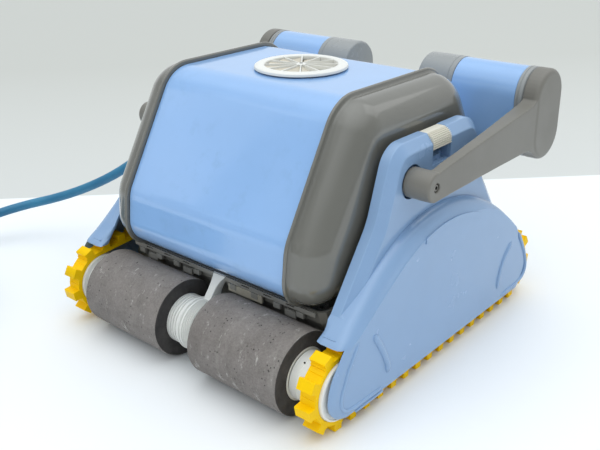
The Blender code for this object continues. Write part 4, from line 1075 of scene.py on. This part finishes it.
rows = [(0, 0.0300), (0.0078, 0.0300), (0.0078, 0.0270), (0.0090, 0.0268), (0.0090, 0.0130), (0.0100, 0.0122), (0.0118, 0.0112), (0.0120, 0.0100)]
for k in range(6):
    x = 0.0080 - 0.0034 * k
    rows += [(0.0120, x), (0.0113, x - 0.0005), (0.0113, x - 0.0014), (0.0120, x - 0.0019)]
rows += [(0.0120, -0.0150), (0.0112, -0.0170), (0.0092, -0.0250), (0.0085, -0.0300), (0, -0.0300)]
placed(turned("plug", rows, 48, "Y", (COIL_AT[0] + 0.122, COIL_AT[1] + 0.012, 0.0694)), "chassis", DARK, "dark_plastic", "cable_connector")

# CAD pieces that stay as they are.
STAY = {
    "base_frame": TRAY, "bottom_lid": TRAY, "filter_cartridge": MESH, "filter_frame": WHITE, "impeller_duct": WHITE, "pump_motor": DARK,
    "left_drive_motor": DARK, "right_drive_motor": DARK, "left_drive_pulley": WHITE, "right_drive_pulley": WHITE, "left_drive_shaft": STEEL,
    "right_drive_shaft": STEEL, "impeller": DARK, "impeller_shaft": STEEL, "front_inlet_flap": DARK, "rear_inlet_flap": DARK,
    "front_lid_latch": DARK, "rear_lid_latch": DARK,
}
for name, mat in STAY.items():
    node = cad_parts[name]
    if not node.material_slots:
        node.data.materials.append(mat)
    for s in node.material_slots:
        s.material = mat


# ---------------------------------------------------------------- stage
def floor():
    bm = bmesh.new()
    bmesh.ops.create_grid(bm, x_segments=1, y_segments=1, size=6)
    mesh = bpy.data.meshes.new("floor")
    bm.to_mesh(mesh)
    bm.free()
    obj = linked("floor", mesh)
    n = Nodes("studio_floor")
    # The floor is painted darker towards a line behind the object (painted shade); beyond the line it is painted as a
    # pale grey backdrop that darkens with distance (painted shade).
    sep = n.add("ShaderNodeSeparateXYZ")
    n.wire(n.coord, sep.inputs[0])
    d = n.math("SUBTRACT", n.math("MULTIPLY", sep.outputs["Y"], 0.7055), n.math("MULTIPLY", sep.outputs["X"], 0.7087))
    edge = n.span(d, 0.4330, 0.4370)
    shaded_floor = n.mix(n.span(d, -1.0, 0.4), (0.935, 0.950, 0.965), (0.830, 0.865, 0.890))
    shaded_backdrop = n.mix(n.span(d, 0.45, 1.5), (0.590, 0.610, 0.598), (0.500, 0.515, 0.490))
    base = n.mix(edge, shaded_floor, shaded_backdrop)
    n.done(base, 0.6, None)
    obj.data.materials.append(n.mat)


floor()


def area(name, at, look, size, power, color=(1, 1, 1)):
    light = bpy.data.lights.new(name, "AREA")
    light.shape = "RECTANGLE"
    light.size, light.size_y = size
    light.energy = power
    light.color = color
    obj = linked(name, light)
    obj.location = at
    obj.rotation_euler = (Vector(look) - Vector(at)).to_track_quat("-Z", "Y").to_euler()
    return obj


area("left_light", (-1.9, -1.5, 1.2), (0, 0, 0.15), (0.5, 1.5), 1.5, (0.95, 0.98, 1.0))
area("gloss_light", (0.9, 1.6, 2.3), (0, 0, 0.15), (1.5, 1.5), 5)


def surroundings():
    """A pale sky, brighter up and to the right, with the dim shapes of trees low down in front."""
    world = bpy.data.worlds.new("world")
    bpy.context.scene.world = world
    world.use_nodes = True
    tree = world.node_tree
    back = tree.nodes["Background"]

    def node(kind, **values):
        n = tree.nodes.new(kind)
        for key, v in values.items():
            setattr(n, key, v)
        return n

    coord = node("ShaderNodeTexCoord").outputs["Generated"]

    def towards(direction, low, high, a, b):
        dot = node("ShaderNodeVectorMath", operation="DOT_PRODUCT")
        tree.links.new(coord, dot.inputs[0])
        dot.inputs[1].default_value = Vector(direction).normalized()
        span = node("ShaderNodeMapRange")
        tree.links.new(dot.outputs["Value"], span.inputs["Value"])
        for key, v in zip(("From Min", "From Max", "To Min", "To Max"), (low, high, a, b)):
            span.inputs[key].default_value = v
        return span.outputs["Result"]

    def times(a, b):
        n = node("ShaderNodeMath", operation="MULTIPLY")
        for k, v in enumerate((a, b)):
            if isinstance(v, float):
                n.inputs[k].default_value = v
            else:
                tree.links.new(v, n.inputs[k])
        return n.outputs[0]

    bright = towards((0.25, 0.40, 0.88), -0.7, 0.9, 0.76, 0.96)
    leaves = node("ShaderNodeTexNoise")
    tree.links.new(coord, leaves.inputs["Vector"])
    leaves.inputs["Scale"].default_value = 9.0
    leaves.inputs["Detail"].default_value = 6.0
    shape = node("ShaderNodeMapRange")
    tree.links.new(leaves.outputs["Fac"], shape.inputs["Value"])
    for key, v in zip(("From Min", "From Max", "To Min", "To Max"), (0.40, 0.53, 0.0, 1.0)):
        shape.inputs[key].default_value = v
    where = times(towards((-0.60, -0.68, 0.42), 0.62, 0.88, 0.0, 1.0), shape.outputs["Result"])
    dim = node("ShaderNodeMapRange")
    tree.links.new(where, dim.inputs["Value"])
    for key, v in zip(("To Min", "To Max"), (1.0, 0.42)):
        dim.inputs[key].default_value = v
    shade = towards((1.0, -0.15, 0.35), 0.35, 0.92, 1.0, 0.50)
    overhead = towards((0.05, -0.16, 1.0), 0.58, 1.0, 0.0, 1.35)
    total = node("ShaderNodeMath", operation="ADD")
    tree.links.new(times(times(bright, shade), dim.outputs["Result"]), total.inputs[0])
    tree.links.new(overhead, total.inputs[1])
    tree.links.new(total.outputs[0], back.inputs["Strength"])
    back.inputs["Color"].default_value = (0.955, 0.985, 1.0, 1)


surroundings()

bpy.context.view_layer.update()
